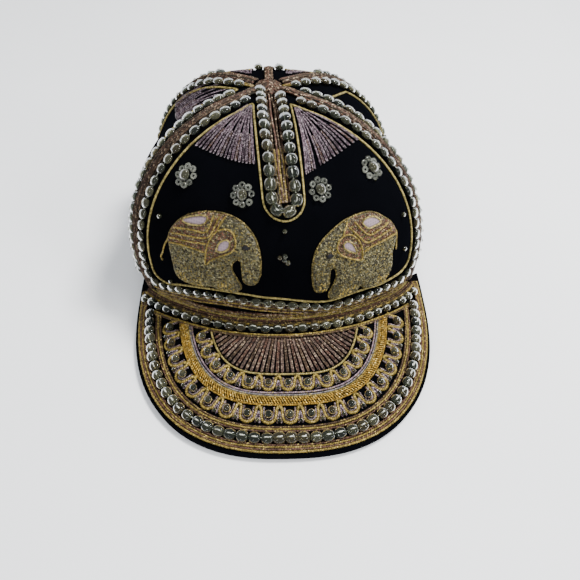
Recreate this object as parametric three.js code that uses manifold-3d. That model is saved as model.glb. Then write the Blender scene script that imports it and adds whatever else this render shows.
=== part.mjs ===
// Beaded velvet cap: a five-panel crown with a top dart and a broad stiff peak.
// Units are millimetres, +Z is up and the peak points towards -Y.
// The cap is modelled round the crown's middle, and the whole model is moved
// at the end so that the origin is the bottom centre of its bounding box.

import * as THREE from 'three';
import { mergeVertices } from 'three/addons/utils/BufferGeometryUtils.js';
import Module from 'manifold-3d';

const wasm = await Module();
wasm.setup();

// Crown shape, mirrored left to right. angle is measured from the front in degrees,
// reach is the rim's distance from the middle, fullness squares the profile off,
// and belly is how far the wall swells between the rim and the top.
const CROWN_STATIONS = [
  { angle: 0, reach: 86.4, fullness: 2.6, belly: 4.2 },
  { angle: 35, reach: 88.5, fullness: 2.52, belly: 4.8 },
  { angle: 62, reach: 93.0, fullness: 2.46, belly: 4.7 },
  { angle: 95, reach: 86.8, fullness: 2.21, belly: 0.6 },
  { angle: 125, reach: 91.0, fullness: 2.22, belly: 1.4 },
  { angle: 155, reach: 91.3, fullness: 1.97, belly: 1.8 },
  { angle: 180, reach: 94.0, fullness: 1.87, belly: 1.8 },
];
const CROWN_HEIGHT = 117.9;
const CROWN_LEAN_X = -5.4;
const CROWN_SHIFT_X = -1.2;
const APEX_Y = 9.4;
const FRONT_RIM_LIFT = 17.3;
const FRONT_RIM_STEP = 3.0;
const TOP_DENT_DEPTH = 5.7;
const TOP_DENT_RADIUS = 35.4;
const WALL = 2.4;
const SEAM_GAP = 0.35;

// Seam lines of the crown: the angle at the rim and how far the seam bows off it.
const SEAM_LINES = {
  front_left: { angle: -56, bow: -3 },
  front_right: { angle: 60.5, bow: 6.5 },
  rear_left: { angle: -122.5, bow: 0 },
  rear_right: { angle: 122.5, bow: 0 },
  centre_back: { angle: 180, bow: 0 },
  dart: { angle: 4.5, bow: 0 },
};

// Top dart: a stitched fold that runs down the front panel from the apex.
const DART_DEPTH = 2.6;
const DART_HALF_WIDTH = 4.6;
const DART_LOBE_HEIGHT = 1.2;
const DART_LOBE_OFFSET = 11;
const DART_LOBE_WIDTH = 7;
const DART_FADE = { from: 0.42, to: 0.62 };
const DART_APEX_FADE = { from: 4, to: 16 };
const DART_TURN = 1.6;

// Peak: a flat-lying board. The outline is a superellipse that is widest at
// PEAK_WIDEST_Y and turns in to the crown's front corners behind it.
const PEAK_CENTRE_X = 1.0;
const PEAK_HALF_WIDTH = 89;
const PEAK_WIDEST_Y = -60;
const PEAK_TIP_Y = -167;
const PEAK_SQUARENESS = 2.5;
const PEAK_CORNER = { turn: 20, inward: 2, back: 20, rise: 5.5 };
const PEAK_THICKNESS = 3.8;
const PEAK_EDGE_ROUND = 1.2;
const PEAK_ARCH = 2.2;
const PEAK_ROOT_GAP = 0.6;
const PEAK_ROOT = { left: -61.5, right: 63.5 };
const PEAK_EDGE_FLAT = { above: 0.4, below: 0.6 };

// Glass beads, threaded in rows.
const BEAD_HALF = 2.75;
const BEAD_FLATNESS = 0.66;
const BEAD_WAIST_HALF = 1.0;
const BEAD_PITCH = 7.3;
const SCALLOP_BEAD_HALF = 2.2;
const THREAD_HALF = 0.5;
const SPACED_STEPS = 12;
const SPACED_BEAD = { from: 5, to: 7 };
const REST_GAP = 0.3;

// Grid of the crown's walls. Columns crowd at the dart, by distance from its middle.
const PANEL_ROWS = 13;
const SIDE_COLUMNS = 7;
const PLAIN_COLUMNS = 5;
const DART_COLUMNS = [-14, -9, -5, -2.5, 0, 2.5, 5, 9, 14];
const DART_GRID_NEEDS = 30;
const APEX_LEVEL = 0.988;
const PEAK_COLUMNS = 26;
const PEAK_SHARES = [0, 0.12, 0.35, 0.6, 0.82];
const FIGURE_GRID = 6;

// Fineness of the measuring and of the tracks.
const SEAM_MIDDLE = 0.4;
const HEIGHT_SEARCH_STEPS = 18;
const SEAM_WALK_STEPS = 4;
const NEWTON_STEPS = 12;
const RIM_STEP = 0.07;
const OUTLINE_STEPS = 22;
const ROOT_STEPS = 120;
const EDGE_TRACK_STEPS = 144;
const ROOT_TRACK_STEPS = 90;

// Distances of the rows from a crown seam, and heights above the rim.
const ROW_CLEARANCE = 19.2;
const ROW_TOP_LEVEL = { highest: 0.97, step: 0.004 };
const ROW_FROM_SEAM = 6.3;
const ROW_CORNER = 9;
const ROW_ABOVE_RIM = 11;
const FRONT_ROW_HEIGHTS = [
  { angle: -56, height: 11.8 },
  { angle: -38, height: 16.4 },
  { angle: -22, height: 19.6 },
  { angle: -8, height: 18.0 },
  { angle: 6, height: 14.6 },
  { angle: 18, height: 11.0 },
  { angle: 30, height: 12.4 },
  { angle: 42, height: 12.6 },
  { angle: 60.5, height: 12.6 },
];

// Couched braids. half is half the width, rise the height above the velvet.
const BRAID_CREST = 0.62;
const SEAM_BRAID = { half: 2.8, rise: 1.9 };
const SEAM_BRAID_FRONT_START = 3;
const SEAM_BRAID_GAP = 0.7;
const RIM_BRAID = { half: 2.2, rise: 1.3, height: 5.4 };
const FRONT_RIM_BRAID = { half: 2.5, rise: 1.3, below: 6.2 };
const DART_BRAID = { half: 2.9, rise: 1.4, raise: 2.0, bottom: 80 };
const DART_ROW = { offset: 6.4, bottom: 72.3, top: 146, steps: 14, foot_steps: 8 };

// Bands on the peak, by their distance in from its edge. clearance is how far
// their ends stay from the root.
const PEAK_BANDS = {
  peak_edge_braid: { distance: 4.2, half: 2.3, rise: 1.3, clearance: 4, colour: 'brown' },
  peak_inner_braid: { distance: 15.2, half: 2.0, rise: 1.3, clearance: 11.2, colour: 'brown' },
  peak_gold_band: { distance: 30, half: 2.3, rise: 1.5, clearance: 11.2, colour: 'gold' },
};
const PEAK_SCALLOPS = {
  beads_scallops_outer: { distance: 22.8, count: 19, clearance: 13.4 },
  beads_scallops_inner: { distance: 39.3, count: 13, clearance: 13.4 },
};
const PEAK_EDGE_ROW = { distance: 9.9, count: 42, clearance: 13 };
const PEAK_ROOT_ROW = { distance: 7.6, count: 26, ends: 0.075 };

// Padded elephants, drawn in a plane that touches the crown at the given place.
const ELEPHANT_THICKNESS = 2.2;
const FIGURE_MARGIN = 1.5;
const FIGURE_CUT = { depth: 50, below: 35 };
const FIGURE_EXTRA_POINTS = 5;
const ELEPHANTS = {
  elephant_left: {
    angle: -22.8,
    level: 0.264,
    outline: [
      [-27.2, -2.7], [-27.4, 4], [-24, 10], [-17.8, 15.8], [-9.2, 19.6], [-1, 21.1], [6.9, 20.8],
      [14.4, 18.2], [20.3, 13.1], [24, 6.3], [25.6, -3.1], [25.2, -10.8], [23, -16.4], [19.6, -18.2],
      [16.4, -16.4], [15.9, -10.4], [15.5, -4], [13.3, -2.4], [10.4, -5.6], [10.3, -9.6],
      [12.2, -14.3], [14.4, -19.6], [12.9, -23], [8.9, -24.8], [2.7, -23.6], [-3.2, -22.8],
      [-7.6, -23.9], [-15.4, -24.6], [-21.4, -23.6], [-25.4, -19.8], [-26, -12.9],
    ],
  },
  elephant_right: {
    angle: 30,
    level: 0.232,
    outline: [
      [-25.8, -0.4], [-24.2, 6.6], [-19.6, 12.6], [-13.1, 17.2], [-5.7, 20.4], [5.1, 21.6], [12.4, 20.3],
      [19.6, 15.8], [26.2, 9.4], [27.6, 2.6], [25.4, -6], [26.4, -14], [25.6, -21.6], [21.6, -26.2],
      [15.4, -26.8], [8.9, -25.6], [4.7, -22], [2.6, -25.2], [-6, -26.8], [-12, -27.6], [-14.7, -23.4],
      [-12.9, -16], [-11.9, -10.4], [-13.6, -5.4], [-16, -5.6], [-16.2, -11], [-16.1, -18],
      [-19, -20.2], [-22.4, -19.6], [-24.8, -13.9], [-25.8, -6.4],
    ],
  },
};

// Rosettes: an oval bead in a ring of small ones.
const ROSETTE = {
  core: 2.9, core_stretch: 1.2, petal: 1.95, ring: 4.7, petals: 8, disc: 0.9, disc_sides: 10,
};
const ROSETTE_SEAT = 0.7;
const ROSETTES = {
  rosette_left_outer: { angle: -41.2, level: 0.523 },
  rosette_left_inner: { angle: -13, level: 0.499 },
  rosette_right_inner: { angle: 20.8, level: 0.508 },
  rosette_right_outer: { angle: 49.8, level: 0.523 },
};

// Gather of braid where all the seams meet at the top.
const TOP_GATHER = {
  radius: 6.4,
  rise: 3.6,
  seat: 0.9,
  sides: 14,
  profile: [[0, 0], [0.9, 0], [1, 0.3], [0.8, 0.75], [0.4, 0.97], [0, 1]],
};
const TOP_CLEARANCE = 8.5;

const MATERIALS = {
  velvet: new THREE.MeshStandardMaterial({ color: 0x0c0d14, roughness: 0.95, metalness: 0 }),
  brown: new THREE.MeshStandardMaterial({ color: 0x6b4534, roughness: 0.7, metalness: 0.25 }),
  gold: new THREE.MeshStandardMaterial({ color: 0xb8923f, roughness: 0.5, metalness: 0.5 }),
  glass: new THREE.MeshStandardMaterial({ color: 0xaab0a2, roughness: 0.12, metalness: 0 }),
  applique: new THREE.MeshStandardMaterial({ color: 0x8f8764, roughness: 0.7, metalness: 0.3 }),
};

const rad = THREE.MathUtils.degToRad;
const smooth = (value, range) => THREE.MathUtils.smoothstep(value, range.from, range.to);

// Value of a named column at an angle, on a smooth curve through the table's rows.
function tableAt(rows, column, angle) {
  let index = rows.findIndex((row) => row.angle > angle) - 1;
  if (index < 0) index = angle <= rows[0].angle ? 0 : rows.length - 2;
  const slope = (i) => (i <= 0 || i >= rows.length - 1 ? 0
    : (rows[i + 1][column] - rows[i - 1][column]) / (rows[i + 1].angle - rows[i - 1].angle));
  const span = rows[index + 1].angle - rows[index].angle;
  const s = THREE.MathUtils.clamp((angle - rows[index].angle) / span, 0, 1);
  const a = rows[index][column];
  const b = rows[index + 1][column];
  return (2 * s ** 3 - 3 * s ** 2 + 1) * a + (s ** 3 - 2 * s ** 2 + s) * span * slope(index)
    + (3 * s ** 2 - 2 * s ** 3) * b + (s ** 3 - s ** 2) * span * slope(index + 1);
}

// Crown surface before the dart. phi runs round from the front, t from rim to apex.
function crownBase(phi, t) {
  const angle = Math.abs(THREE.MathUtils.radToDeg(Math.atan2(Math.sin(phi), Math.cos(phi))));
  const power = 2 / tableAt(CROWN_STATIONS, 'fullness', angle);
  const rho = Math.max(Math.cos(t * Math.PI / 2), 0) ** power;
  const climb = Math.sin(t * Math.PI / 2) ** power;
  const belly = tableAt(CROWN_STATIONS, 'belly', angle) * Math.sin(Math.PI * climb);
  const r = tableAt(CROWN_STATIONS, 'reach', angle) * rho + belly;
  const facing = Math.max(Math.cos(phi), 0);
  const rim = FRONT_RIM_LIFT * facing ** 1.5 + FRONT_RIM_STEP * facing ** 0.5;
  const dent = TOP_DENT_DEPTH * climb * Math.exp(-((r / TOP_DENT_RADIUS) ** 2));
  return new THREE.Vector3(
    r * Math.sin(phi) + CROWN_SHIFT_X + CROWN_LEAN_X * climb,
    APEX_Y * (1 - rho) - r * Math.cos(phi),
    rim + (CROWN_HEIGHT - rim) * climb - dent,
  );
}

function normalOf(surface, phi, t) {
  const step = 1e-3;
  const round = surface(phi + step, t).sub(surface(phi - step, t));
  const up = surface(phi, Math.min(t + step, 1)).sub(surface(phi, Math.max(t - step, 0)));
  return round.cross(up).normalize();
}

// The dart's fold and its two lobes, as a height above the plain crown.
function dartHeight(phi, t) {
  const turn = Math.atan2(Math.sin(phi), Math.cos(phi)) - rad(SEAM_LINES.dart.angle);
  const base = crownBase(phi, t);
  const radius = Math.hypot(base.x - CROWN_SHIFT_X - CROWN_LEAN_X, base.y - APEX_Y);
  const side = Math.abs(turn) * radius;
  const lobe = (side - DART_LOBE_OFFSET) / DART_LOBE_WIDTH;
  const fade = smooth(t, DART_FADE) * smooth(radius, DART_APEX_FADE);
  const fold = DART_DEPTH * Math.exp(-((side / DART_HALF_WIDTH) ** 2));
  return fade * (DART_LOBE_HEIGHT * Math.exp(-(lobe ** 2)) - fold);
}

function crownSurface(phi, t) {
  const base = crownBase(phi, t);
  const height = Math.abs(phi) < DART_TURN ? dartHeight(phi, t) : 0;
  return height === 0 ? base : base.addScaledVector(normalOf(crownBase, phi, t), height);
}

// A point of the crown raised off the velvet, with the direction that faces out there.
function crownPoint(phi, t, raise = 0) {
  const normal = normalOf(crownSurface, phi, t);
  return { point: crownSurface(phi, t).addScaledVector(normal, raise), normal };
}

const seamAngle = (line, t) => rad(line.angle + line.bow * Math.sin(Math.PI * t));

// Length along a surface curve given as a function of one parameter.
function lengthAlong(curve, from, to, steps = 24) {
  let total = 0;
  let last = curve(from);
  for (let i = 1; i <= steps; i += 1) {
    const next = curve(from + (to - from) * i / steps);
    total += next.distanceTo(last);
    last = next;
  }
  return total;
}

// The level t that lies the given distance up the wall from the rim, at one angle.
function levelAt(phi, height) {
  let low = 0;
  let high = 1;
  for (let i = 0; i < HEIGHT_SEARCH_STEPS; i += 1) {
    const middle = (low + high) / 2;
    if (lengthAlong((t) => crownBase(phi, t), 0, middle) < height) low = middle;
    else high = middle;
  }
  return (low + high) / 2;
}

// The angle that lies the given distance sideways from a seam line, at one level.
function besideSeam(line, t, distance) {
  let phi = seamAngle(line, t);
  for (let i = 0; i < SEAM_WALK_STEPS; i += 1) {
    const step = 1e-3;
    const stretch = crownBase(phi + step, t).distanceTo(crownBase(phi - step, t)) / (2 * step);
    phi += distance / SEAM_WALK_STEPS / Math.max(stretch, 0.5);
  }
  return phi;
}

// Place beside a seam: distance sideways, height up the wall from the rim.
function seamPlace(line, distance, height) {
  const t = levelAt(seamAngle(line, SEAM_MIDDLE), height);
  return { phi: besideSeam(line, t, distance), t };
}

// Newton search for the place where a surface shows the wanted pair of values.
function solvePlace(values, wanted, start) {
  let { a, b } = start;
  for (let i = 0; i < NEWTON_STEPS; i += 1) {
    const step = 1e-4;
    const here = values(a, b);
    const alongA = values(a + step, b);
    const alongB = values(a, b + step);
    const m = [(alongA[0] - here[0]) / step, (alongB[0] - here[0]) / step,
      (alongA[1] - here[1]) / step, (alongB[1] - here[1]) / step];
    const missed = [wanted[0] - here[0], wanted[1] - here[1]];
    const det = m[0] * m[3] - m[1] * m[2];
    a += (missed[0] * m[3] - missed[1] * m[1]) / det;
    b += (missed[1] * m[0] - missed[0] * m[2]) / det;
  }
  return { a, b };
}

// A drawing plane that touches the crown, and the way from it back to the surface.
function crownPatch(angle, level) {
  const phi = rad(angle);
  const { point, normal } = crownPoint(phi, level);
  const step = 1e-3;
  const across = crownSurface(phi + step, level).sub(crownSurface(phi - step, level)).normalize();
  const up = normal.clone().cross(across);
  const flat = (a, b) => {
    const offset = crownSurface(a, b).sub(point);
    return [offset.dot(across), offset.dot(up)];
  };
  return {
    point, normal, across, up,
    at(x, y, raise) {
      const place = solvePlace(flat, [x, y], { a: phi, b: level });
      return crownPoint(place.a, place.b, raise);
    },
  };
}

// Closed skin over a grid of points: outer and inner layers, joined round the border.
function slabGeometry(rows, columns, outer, inner) {
  const positions = [];
  const faces = [];
  const id = (layer, i, j) => layer * (rows + 1) * (columns + 1) + i * (columns + 1) + j;
  for (const layer of [outer, inner]) {
    for (let i = 0; i <= rows; i += 1) {
      for (let j = 0; j <= columns; j += 1) positions.push(...layer(i, j).toArray());
    }
  }
  const quad = (a, b, c, d) => faces.push(a, b, c, a, c, d);
  for (let i = 0; i < rows; i += 1) {
    for (let j = 0; j < columns; j += 1) {
      quad(id(0, i, j), id(0, i, j + 1), id(0, i + 1, j + 1), id(0, i + 1, j));
      quad(id(1, i, j), id(1, i + 1, j), id(1, i + 1, j + 1), id(1, i, j + 1));
    }
  }
  for (let j = 0; j < columns; j += 1) {
    quad(id(1, 0, j), id(1, 0, j + 1), id(0, 0, j + 1), id(0, 0, j));
    quad(id(0, rows, j), id(0, rows, j + 1), id(1, rows, j + 1), id(1, rows, j));
  }
  for (let i = 0; i < rows; i += 1) {
    quad(id(0, i, 0), id(0, i + 1, 0), id(1, i + 1, 0), id(1, i, 0));
    quad(id(1, i, columns), id(1, i + 1, columns), id(0, i + 1, columns), id(0, i, columns));
  }
  return bufferGeometry(positions, faces);
}

function bufferGeometry(positions, faces) {
  const geometry = new THREE.BufferGeometry();
  geometry.setAttribute('position', new THREE.Float32BufferAttribute(positions, 3));
  geometry.setIndex(faces);
  return geometry;
}

// Closed tube of polygon rings, each ring given as points in order.
function loftGeometry(rings) {
  const sides = rings[0].length;
  const positions = rings.flatMap((ring) => ring.flatMap((p) => p.toArray()));
  const faces = [];
  for (let i = 0; i < rings.length - 1; i += 1) {
    for (let k = 0; k < sides; k += 1) {
      const next = (k + 1) % sides;
      const a = i * sides + k;
      const b = i * sides + next;
      faces.push(a, b, b + sides, a, b + sides, a + sides);
    }
  }
  const last = (rings.length - 1) * sides;
  for (let k = 1; k < sides - 1; k += 1) {
    faces.push(0, k + 1, k, last, last + k, last + k + 1);
  }
  return bufferGeometry(positions, faces);
}

// Even steps along a track of {point, normal}, with the sideways direction added.
function evenTrack(samples, count) {
  const travelled = [0];
  for (let i = 1; i < samples.length; i += 1) {
    travelled.push(travelled[i - 1] + samples[i].point.distanceTo(samples[i - 1].point));
  }
  const total = travelled[travelled.length - 1];
  const at = (distance) => {
    let i = travelled.findIndex((value) => value >= distance);
    i = THREE.MathUtils.clamp(i, 1, samples.length - 1);
    const s = (distance - travelled[i - 1]) / (travelled[i] - travelled[i - 1]);
    return {
      point: samples[i - 1].point.clone().lerp(samples[i].point, s),
      normal: samples[i - 1].normal.clone().lerp(samples[i].normal, s).normalize(),
      ahead: samples[i].point.clone().sub(samples[i - 1].point).normalize(),
    };
  };
  const stops = [];
  for (let i = 0; i <= count; i += 1) {
    const stop = at(THREE.MathUtils.clamp(total * i / count, 1e-6, total));
    const before = at(Math.max(total * i / count - 1, 1e-6)).ahead;
    const after = at(Math.min(total * i / count + 1, total)).ahead;
    const ahead = before.add(after).normalize();
    stops.push({ ...stop, side: ahead.cross(stop.normal).normalize() });
  }
  return { stops, total };
}

const ringAt = (stop, shape) => shape.map(([x, y]) => stop.point.clone()
  .addScaledVector(stop.side, x).addScaledVector(stop.normal, y));

// String of beads: square-cut rings, wide at each bead and narrow between.
function beadString(samples, count, half) {
  const waist = BEAD_WAIST_HALF;
  const flat = BEAD_FLATNESS;
  const { stops } = evenTrack(samples, count * 2);
  const square = (w) => [
    [-w, (half - w) * flat], [-w, (half + w) * flat], [w, (half + w) * flat], [w, (half - w) * flat],
  ];
  return loftGeometry(stops.map((stop, i) => ringAt(stop, square(i % 2 ? half : waist))));
}

// Flat braid with sloping flanks.
function braidBand(samples, half, rise, pace = 8) {
  const length = evenTrack(samples, 1).total;
  const { stops } = evenTrack(samples, Math.max(2, Math.round(length / pace)));
  const crest = half * BRAID_CREST;
  const section = [[-half, 0], [-crest, rise], [crest, rise], [half, 0]];
  return loftGeometry(stops.map((stop) => ringAt(stop, section)));
}

const trackOnCrown = (places, raise) => places.map(({ phi, t }) => crownPoint(phi, t, raise));

// Run of places beside a seam between two heights.
function seamRun(line, distance, from, to, steps = 22) {
  const run = [];
  for (let i = 0; i <= steps; i += 1) {
    run.push(seamPlace(line, distance, from + (to - from) * i / steps));
  }
  return run;
}

// Rounded turn between two runs, as a curve pulled towards the corner.
function roundedTurn(before, corner, after, steps = 6) {
  const turn = [];
  for (let i = 1; i < steps; i += 1) {
    const s = i / steps;
    const mix = (key) => (1 - s) ** 2 * before[key] + 2 * s * (1 - s) * corner[key] + s ** 2 * after[key];
    turn.push({ phi: mix('phi'), t: mix('t') });
  }
  return turn;
}

// Height up the wall at which two seams are as far apart as two rows need.
function rowTop(left, right) {
  const line = (t) => (s) => crownBase(seamAngle(left, t) * (1 - s) + seamAngle(right, t) * s, t);
  let t = ROW_TOP_LEVEL.highest;
  while (lengthAlong(line(t), 0, 1) < ROW_CLEARANCE) t -= ROW_TOP_LEVEL.step;
  return lengthAlong((level) => crownBase(seamAngle(left, SEAM_MIDDLE), level), 0, t);
}

// Places along the rim between two angles, at a height that may change on the way.
function rimRun(from, to, height) {
  const steps = Math.max(8, Math.round(Math.abs(to - from) / RIM_STEP));
  const run = [];
  for (let i = 0; i <= steps; i += 1) {
    const phi = from + (to - from) * i / steps;
    run.push({ phi, t: levelAt(phi, height(phi)) });
  }
  return run;
}

// Border row of a panel: down its left seam, along the rim and up its right seam.
function borderRow({ left, right, topLeft, topRight, rimHeight }) {
  const spread = CROWN_STATIONS[0].reach;
  const start = rad(left.angle) + ROW_FROM_SEAM / spread;
  const end = rad(right.angle) - ROW_FROM_SEAM / spread;
  const down = seamRun(left, ROW_FROM_SEAM, topLeft, rimHeight(start) + ROW_CORNER);
  const up = seamRun(right, -ROW_FROM_SEAM, rimHeight(end) + ROW_CORNER, topRight);
  const along = rimRun(start + ROW_CORNER / spread, end - ROW_CORNER / spread, rimHeight);
  return [
    ...down,
    ...roundedTurn(down[down.length - 1], seamPlace(left, ROW_FROM_SEAM, rimHeight(start)), along[0]),
    ...along,
    ...roundedTurn(along[along.length - 1], seamPlace(right, -ROW_FROM_SEAM, rimHeight(end)), up[0]),
    ...up,
  ];
}

// Angles of the grid columns across the front panel, crowded together at the dart.
function frontColumns(t) {
  const { front_left: left, front_right: right, dart } = SEAM_LINES;
  const from = besideSeam(left, t, SEAM_GAP / 2);
  const to = besideSeam(right, t, -SEAM_GAP / 2);
  const middle = seamAngle(dart, t);
  const reach = (edge) => lengthAlong((phi) => crownBase(phi, t), middle, edge, 12);
  const columns = [];
  const leftScale = Math.min(1, reach(from) / DART_GRID_NEEDS);
  const rightScale = Math.min(1, reach(to) / DART_GRID_NEEDS);
  const inner = DART_COLUMNS.map((d) => besideSeam(dart, t, d * (d < 0 ? leftScale : rightScale)));
  for (let i = 0; i < PLAIN_COLUMNS; i += 1) columns.push(from + (inner[0] - from) * i / PLAIN_COLUMNS);
  columns.push(...inner);
  const last = inner[inner.length - 1];
  for (let i = 1; i <= PLAIN_COLUMNS; i += 1) columns.push(last + (to - last) * i / PLAIN_COLUMNS);
  return columns;
}

function plainColumns(left, right, count) {
  return (t) => {
    const from = besideSeam(left, t, SEAM_GAP / 2);
    const to = besideSeam(right, t, -SEAM_GAP / 2);
    return Array.from({ length: count + 1 }, (_, i) => from + (to - from) * i / count);
  };
}

// Crown panel: a wall of cloth between two seams, from the rim to the hole at the apex.
function crownPanel(columnsAt) {
  const places = [];
  for (let i = 0; i <= PANEL_ROWS; i += 1) {
    const t = APEX_LEVEL * i / PANEL_ROWS;
    places.push(columnsAt(t).map((phi) => ({ phi, t })));
  }
  const outer = (i, j) => crownPoint(places[i][j].phi, places[i][j].t).point;
  const inner = (i, j) => {
    const { point, normal } = crownPoint(places[i][j].phi, places[i][j].t);
    if (i === 0) normal.setZ(0).normalize();
    return point.addScaledVector(normal, -WALL);
  };
  return slabGeometry(PANEL_ROWS, places[0].length - 1, outer, inner);
}

// Outline of the peak in plan, by the turn in degrees away from its tip.
function peakOutline(turn) {
  const side = Math.sign(turn);
  const angle = rad(Math.min(Math.abs(turn), 90));
  const power = 2 / PEAK_SQUARENESS;
  const past = Math.max(Math.abs(turn) - 90, 0) / PEAK_CORNER.turn;
  const x = PEAK_HALF_WIDTH * Math.sin(angle) ** power - PEAK_CORNER.inward * past ** 2;
  const depth = past > 0 ? 0 : (PEAK_WIDEST_Y - PEAK_TIP_Y) * Math.max(Math.cos(angle), 0) ** power;
  return new THREE.Vector3(
    PEAK_CENTRE_X + side * x,
    PEAK_WIDEST_Y - depth + PEAK_CORNER.back * past,
    PEAK_THICKNESS + PEAK_CORNER.rise * past ** 2,
  );
}

const OUTLINE_TURN = 90 + PEAK_CORNER.turn;
const outlineTurns = Array.from(
  { length: 2 * OUTLINE_STEPS + 1 },
  (_, i) => OUTLINE_TURN * (i / OUTLINE_STEPS - 1),
);
const peakEdge = new THREE.CatmullRomCurve3(outlineTurns.map(peakOutline));

// Root of the peak, where it is sewn to the crown's rim. s runs from left to right.
function peakRoot(s) {
  const phi = rad(PEAK_ROOT.left + (PEAK_ROOT.right - PEAK_ROOT.left) * s);
  const { point, normal } = crownPoint(phi, 0);
  return point.addScaledVector(normal.setZ(0).normalize(), PEAK_ROOT_GAP);
}

const ROOT_LINE = Array.from({ length: ROOT_STEPS + 1 }, (_, i) => peakRoot(i / ROOT_STEPS));

// Nearest place in plan on the root: distance (negative behind it), height and share along.
function nearestRoot(x, y) {
  let found = { distance: Infinity };
  for (let i = 0; i < ROOT_LINE.length - 1; i += 1) {
    const here = ROOT_LINE[i];
    const dx = ROOT_LINE[i + 1].x - here.x;
    const dy = ROOT_LINE[i + 1].y - here.y;
    const reach = ((x - here.x) * dx + (y - here.y) * dy) / (dx * dx + dy * dy);
    const s = THREE.MathUtils.clamp(reach, 0, 1);
    const distance = Math.hypot(x - here.x - s * dx, y - here.y - s * dy);
    if (distance < Math.abs(found.distance)) {
      const front = dy * (x - here.x) - dx * (y - here.y) >= 0;
      const z = here.z + s * (ROOT_LINE[i + 1].z - here.z);
      found = { distance: front ? distance : -distance, z, share: (i + s) / (ROOT_LINE.length - 1) };
    }
  }
  return found;
}

// Height of the peak's top: it falls from the root to the edge and is slightly arched.
function peakHeight(x, y) {
  const root = nearestRoot(x, y);
  const n = PEAK_SQUARENESS;
  const depth = Math.max(PEAK_WIDEST_Y - y, 0) / (PEAK_WIDEST_Y - PEAK_TIP_Y);
  const reach = ((Math.abs(x - PEAK_CENTRE_X) / PEAK_HALF_WIDTH) ** n + depth ** n) ** (1 / n);
  const toEdge = Math.max(1 - reach, 0) * PEAK_HALF_WIDTH;
  const fromRoot = Math.max(root.distance, 0);
  const v = fromRoot / Math.max(fromRoot + toEdge, 1e-6);
  const past = THREE.MathUtils.clamp((y - PEAK_WIDEST_Y) / PEAK_CORNER.back, 0, 1);
  const edge = PEAK_THICKNESS + PEAK_CORNER.rise * past ** 2;
  return root.z + (edge - root.z) * v + PEAK_ARCH * Math.sin(Math.PI * v) * Math.sin(Math.PI * root.share);
}

// Point and upward normal of the peak's top at a place in plan.
function peakPoint(x, y, raise) {
  const step = 0.5;
  const slopeX = (peakHeight(x + step, y) - peakHeight(x - step, y)) / (2 * step);
  const slopeY = (peakHeight(x, y + step) - peakHeight(x, y - step)) / (2 * step);
  const normal = new THREE.Vector3(-slopeX, -slopeY, 1).normalize();
  return { point: new THREE.Vector3(x, y, peakHeight(x, y)).addScaledVector(normal, raise), normal };
}

// The peak's board with its rounded edge, in columns that run from root to edge.
function peakGeometry() {
  const rim = (s, drop, inset) => {
    const edge = peakEdge.getPointAt(s);
    const inward = peakRoot(s).sub(edge).setZ(0).normalize();
    return edge.addScaledVector(inward, inset).setZ(Math.max(edge.z, PEAK_THICKNESS) - drop);
  };
  const edgeColumn = PEAK_SHARES.length;
  const outer = (i, j) => {
    const s = i / PEAK_COLUMNS;
    if (j < edgeColumn) {
      const spot = peakRoot(s).lerp(peakEdge.getPointAt(s), PEAK_SHARES[j]);
      return spot.setZ(peakHeight(spot.x, spot.y));
    }
    return j === edgeColumn ? rim(s, 0, PEAK_EDGE_ROUND) : rim(s, PEAK_THICKNESS * PEAK_EDGE_FLAT.above, 0);
  };
  const inner = (i, j) => {
    const s = i / PEAK_COLUMNS;
    if (j > edgeColumn) return rim(s, PEAK_THICKNESS * PEAK_EDGE_FLAT.below, 0);
    const top = outer(i, j);
    return top.setZ(top.z - PEAK_THICKNESS);
  };
  return slabGeometry(PEAK_COLUMNS, edgeColumn + 1, outer, inner);
}

// Track on the peak that keeps one distance from its edge and stays clear of the root.
function edgeTrack(distance, clearance) {
  const spots = [];
  for (let i = 0; i <= EDGE_TRACK_STEPS; i += 1) {
    const edge = peakEdge.getPointAt(i / EDGE_TRACK_STEPS);
    const along = peakEdge.getTangentAt(i / EDGE_TRACK_STEPS);
    const spot = new THREE.Vector3(-along.y, along.x, 0).normalize().multiplyScalar(distance).add(edge);
    if (nearestRoot(spot.x, spot.y).distance >= clearance) spots.push(spot);
  }
  return spots.map((spot) => peakPoint(spot.x, spot.y, REST_GAP));
}

// Track on the peak that runs beside its root.
function rootTrack(distance, ends) {
  const spots = [];
  for (let i = 0; i <= ROOT_TRACK_STEPS; i += 1) {
    const share = ends + (1 - 2 * ends) * i / ROOT_TRACK_STEPS;
    const along = peakRoot(share + 0.01).sub(peakRoot(share - 0.01));
    const aside = new THREE.Vector3(along.y, -along.x, 0).normalize().multiplyScalar(distance);
    spots.push(aside.add(peakRoot(share)));
  }
  return spots.map((spot) => peakPoint(spot.x, spot.y, REST_GAP));
}

// String of spaced beads: each bead is a short barrel, with bare thread between.
function spacedBeads(samples, count, half) {
  const { from, to } = SPACED_BEAD;
  const { stops } = evenTrack(samples, count * SPACED_STEPS);
  const square = (w) => [[-w, half - w], [-w, half + w], [w, half + w], [w, half - w]];
  const widths = { [from - 1]: THREAD_HALF, [from]: half, [to]: half, [to + 1]: THREAD_HALF };
  const marked = stops.map((stop, i) => ({ stop, width: widths[i % SPACED_STEPS] }));
  const beaded = marked.filter(({ width }) => width);
  return loftGeometry(beaded.map(({ stop, width }) => ringAt(stop, square(width))));
}

function manifoldOf(geometry) {
  const bare = geometry.clone();
  bare.deleteAttribute('normal');
  bare.deleteAttribute('uv');
  const merged = mergeVertices(bare, 1e-4);
  return new wasm.Manifold(new wasm.Mesh({
    numProp: 3,
    vertProperties: new Float32Array(merged.attributes.position.array),
    triVerts: new Uint32Array(merged.index.array),
  }));
}

function geometryOf(manifold) {
  const mesh = manifold.getMesh();
  return bufferGeometry(Array.from(mesh.vertProperties), Array.from(mesh.triVerts));
}

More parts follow.
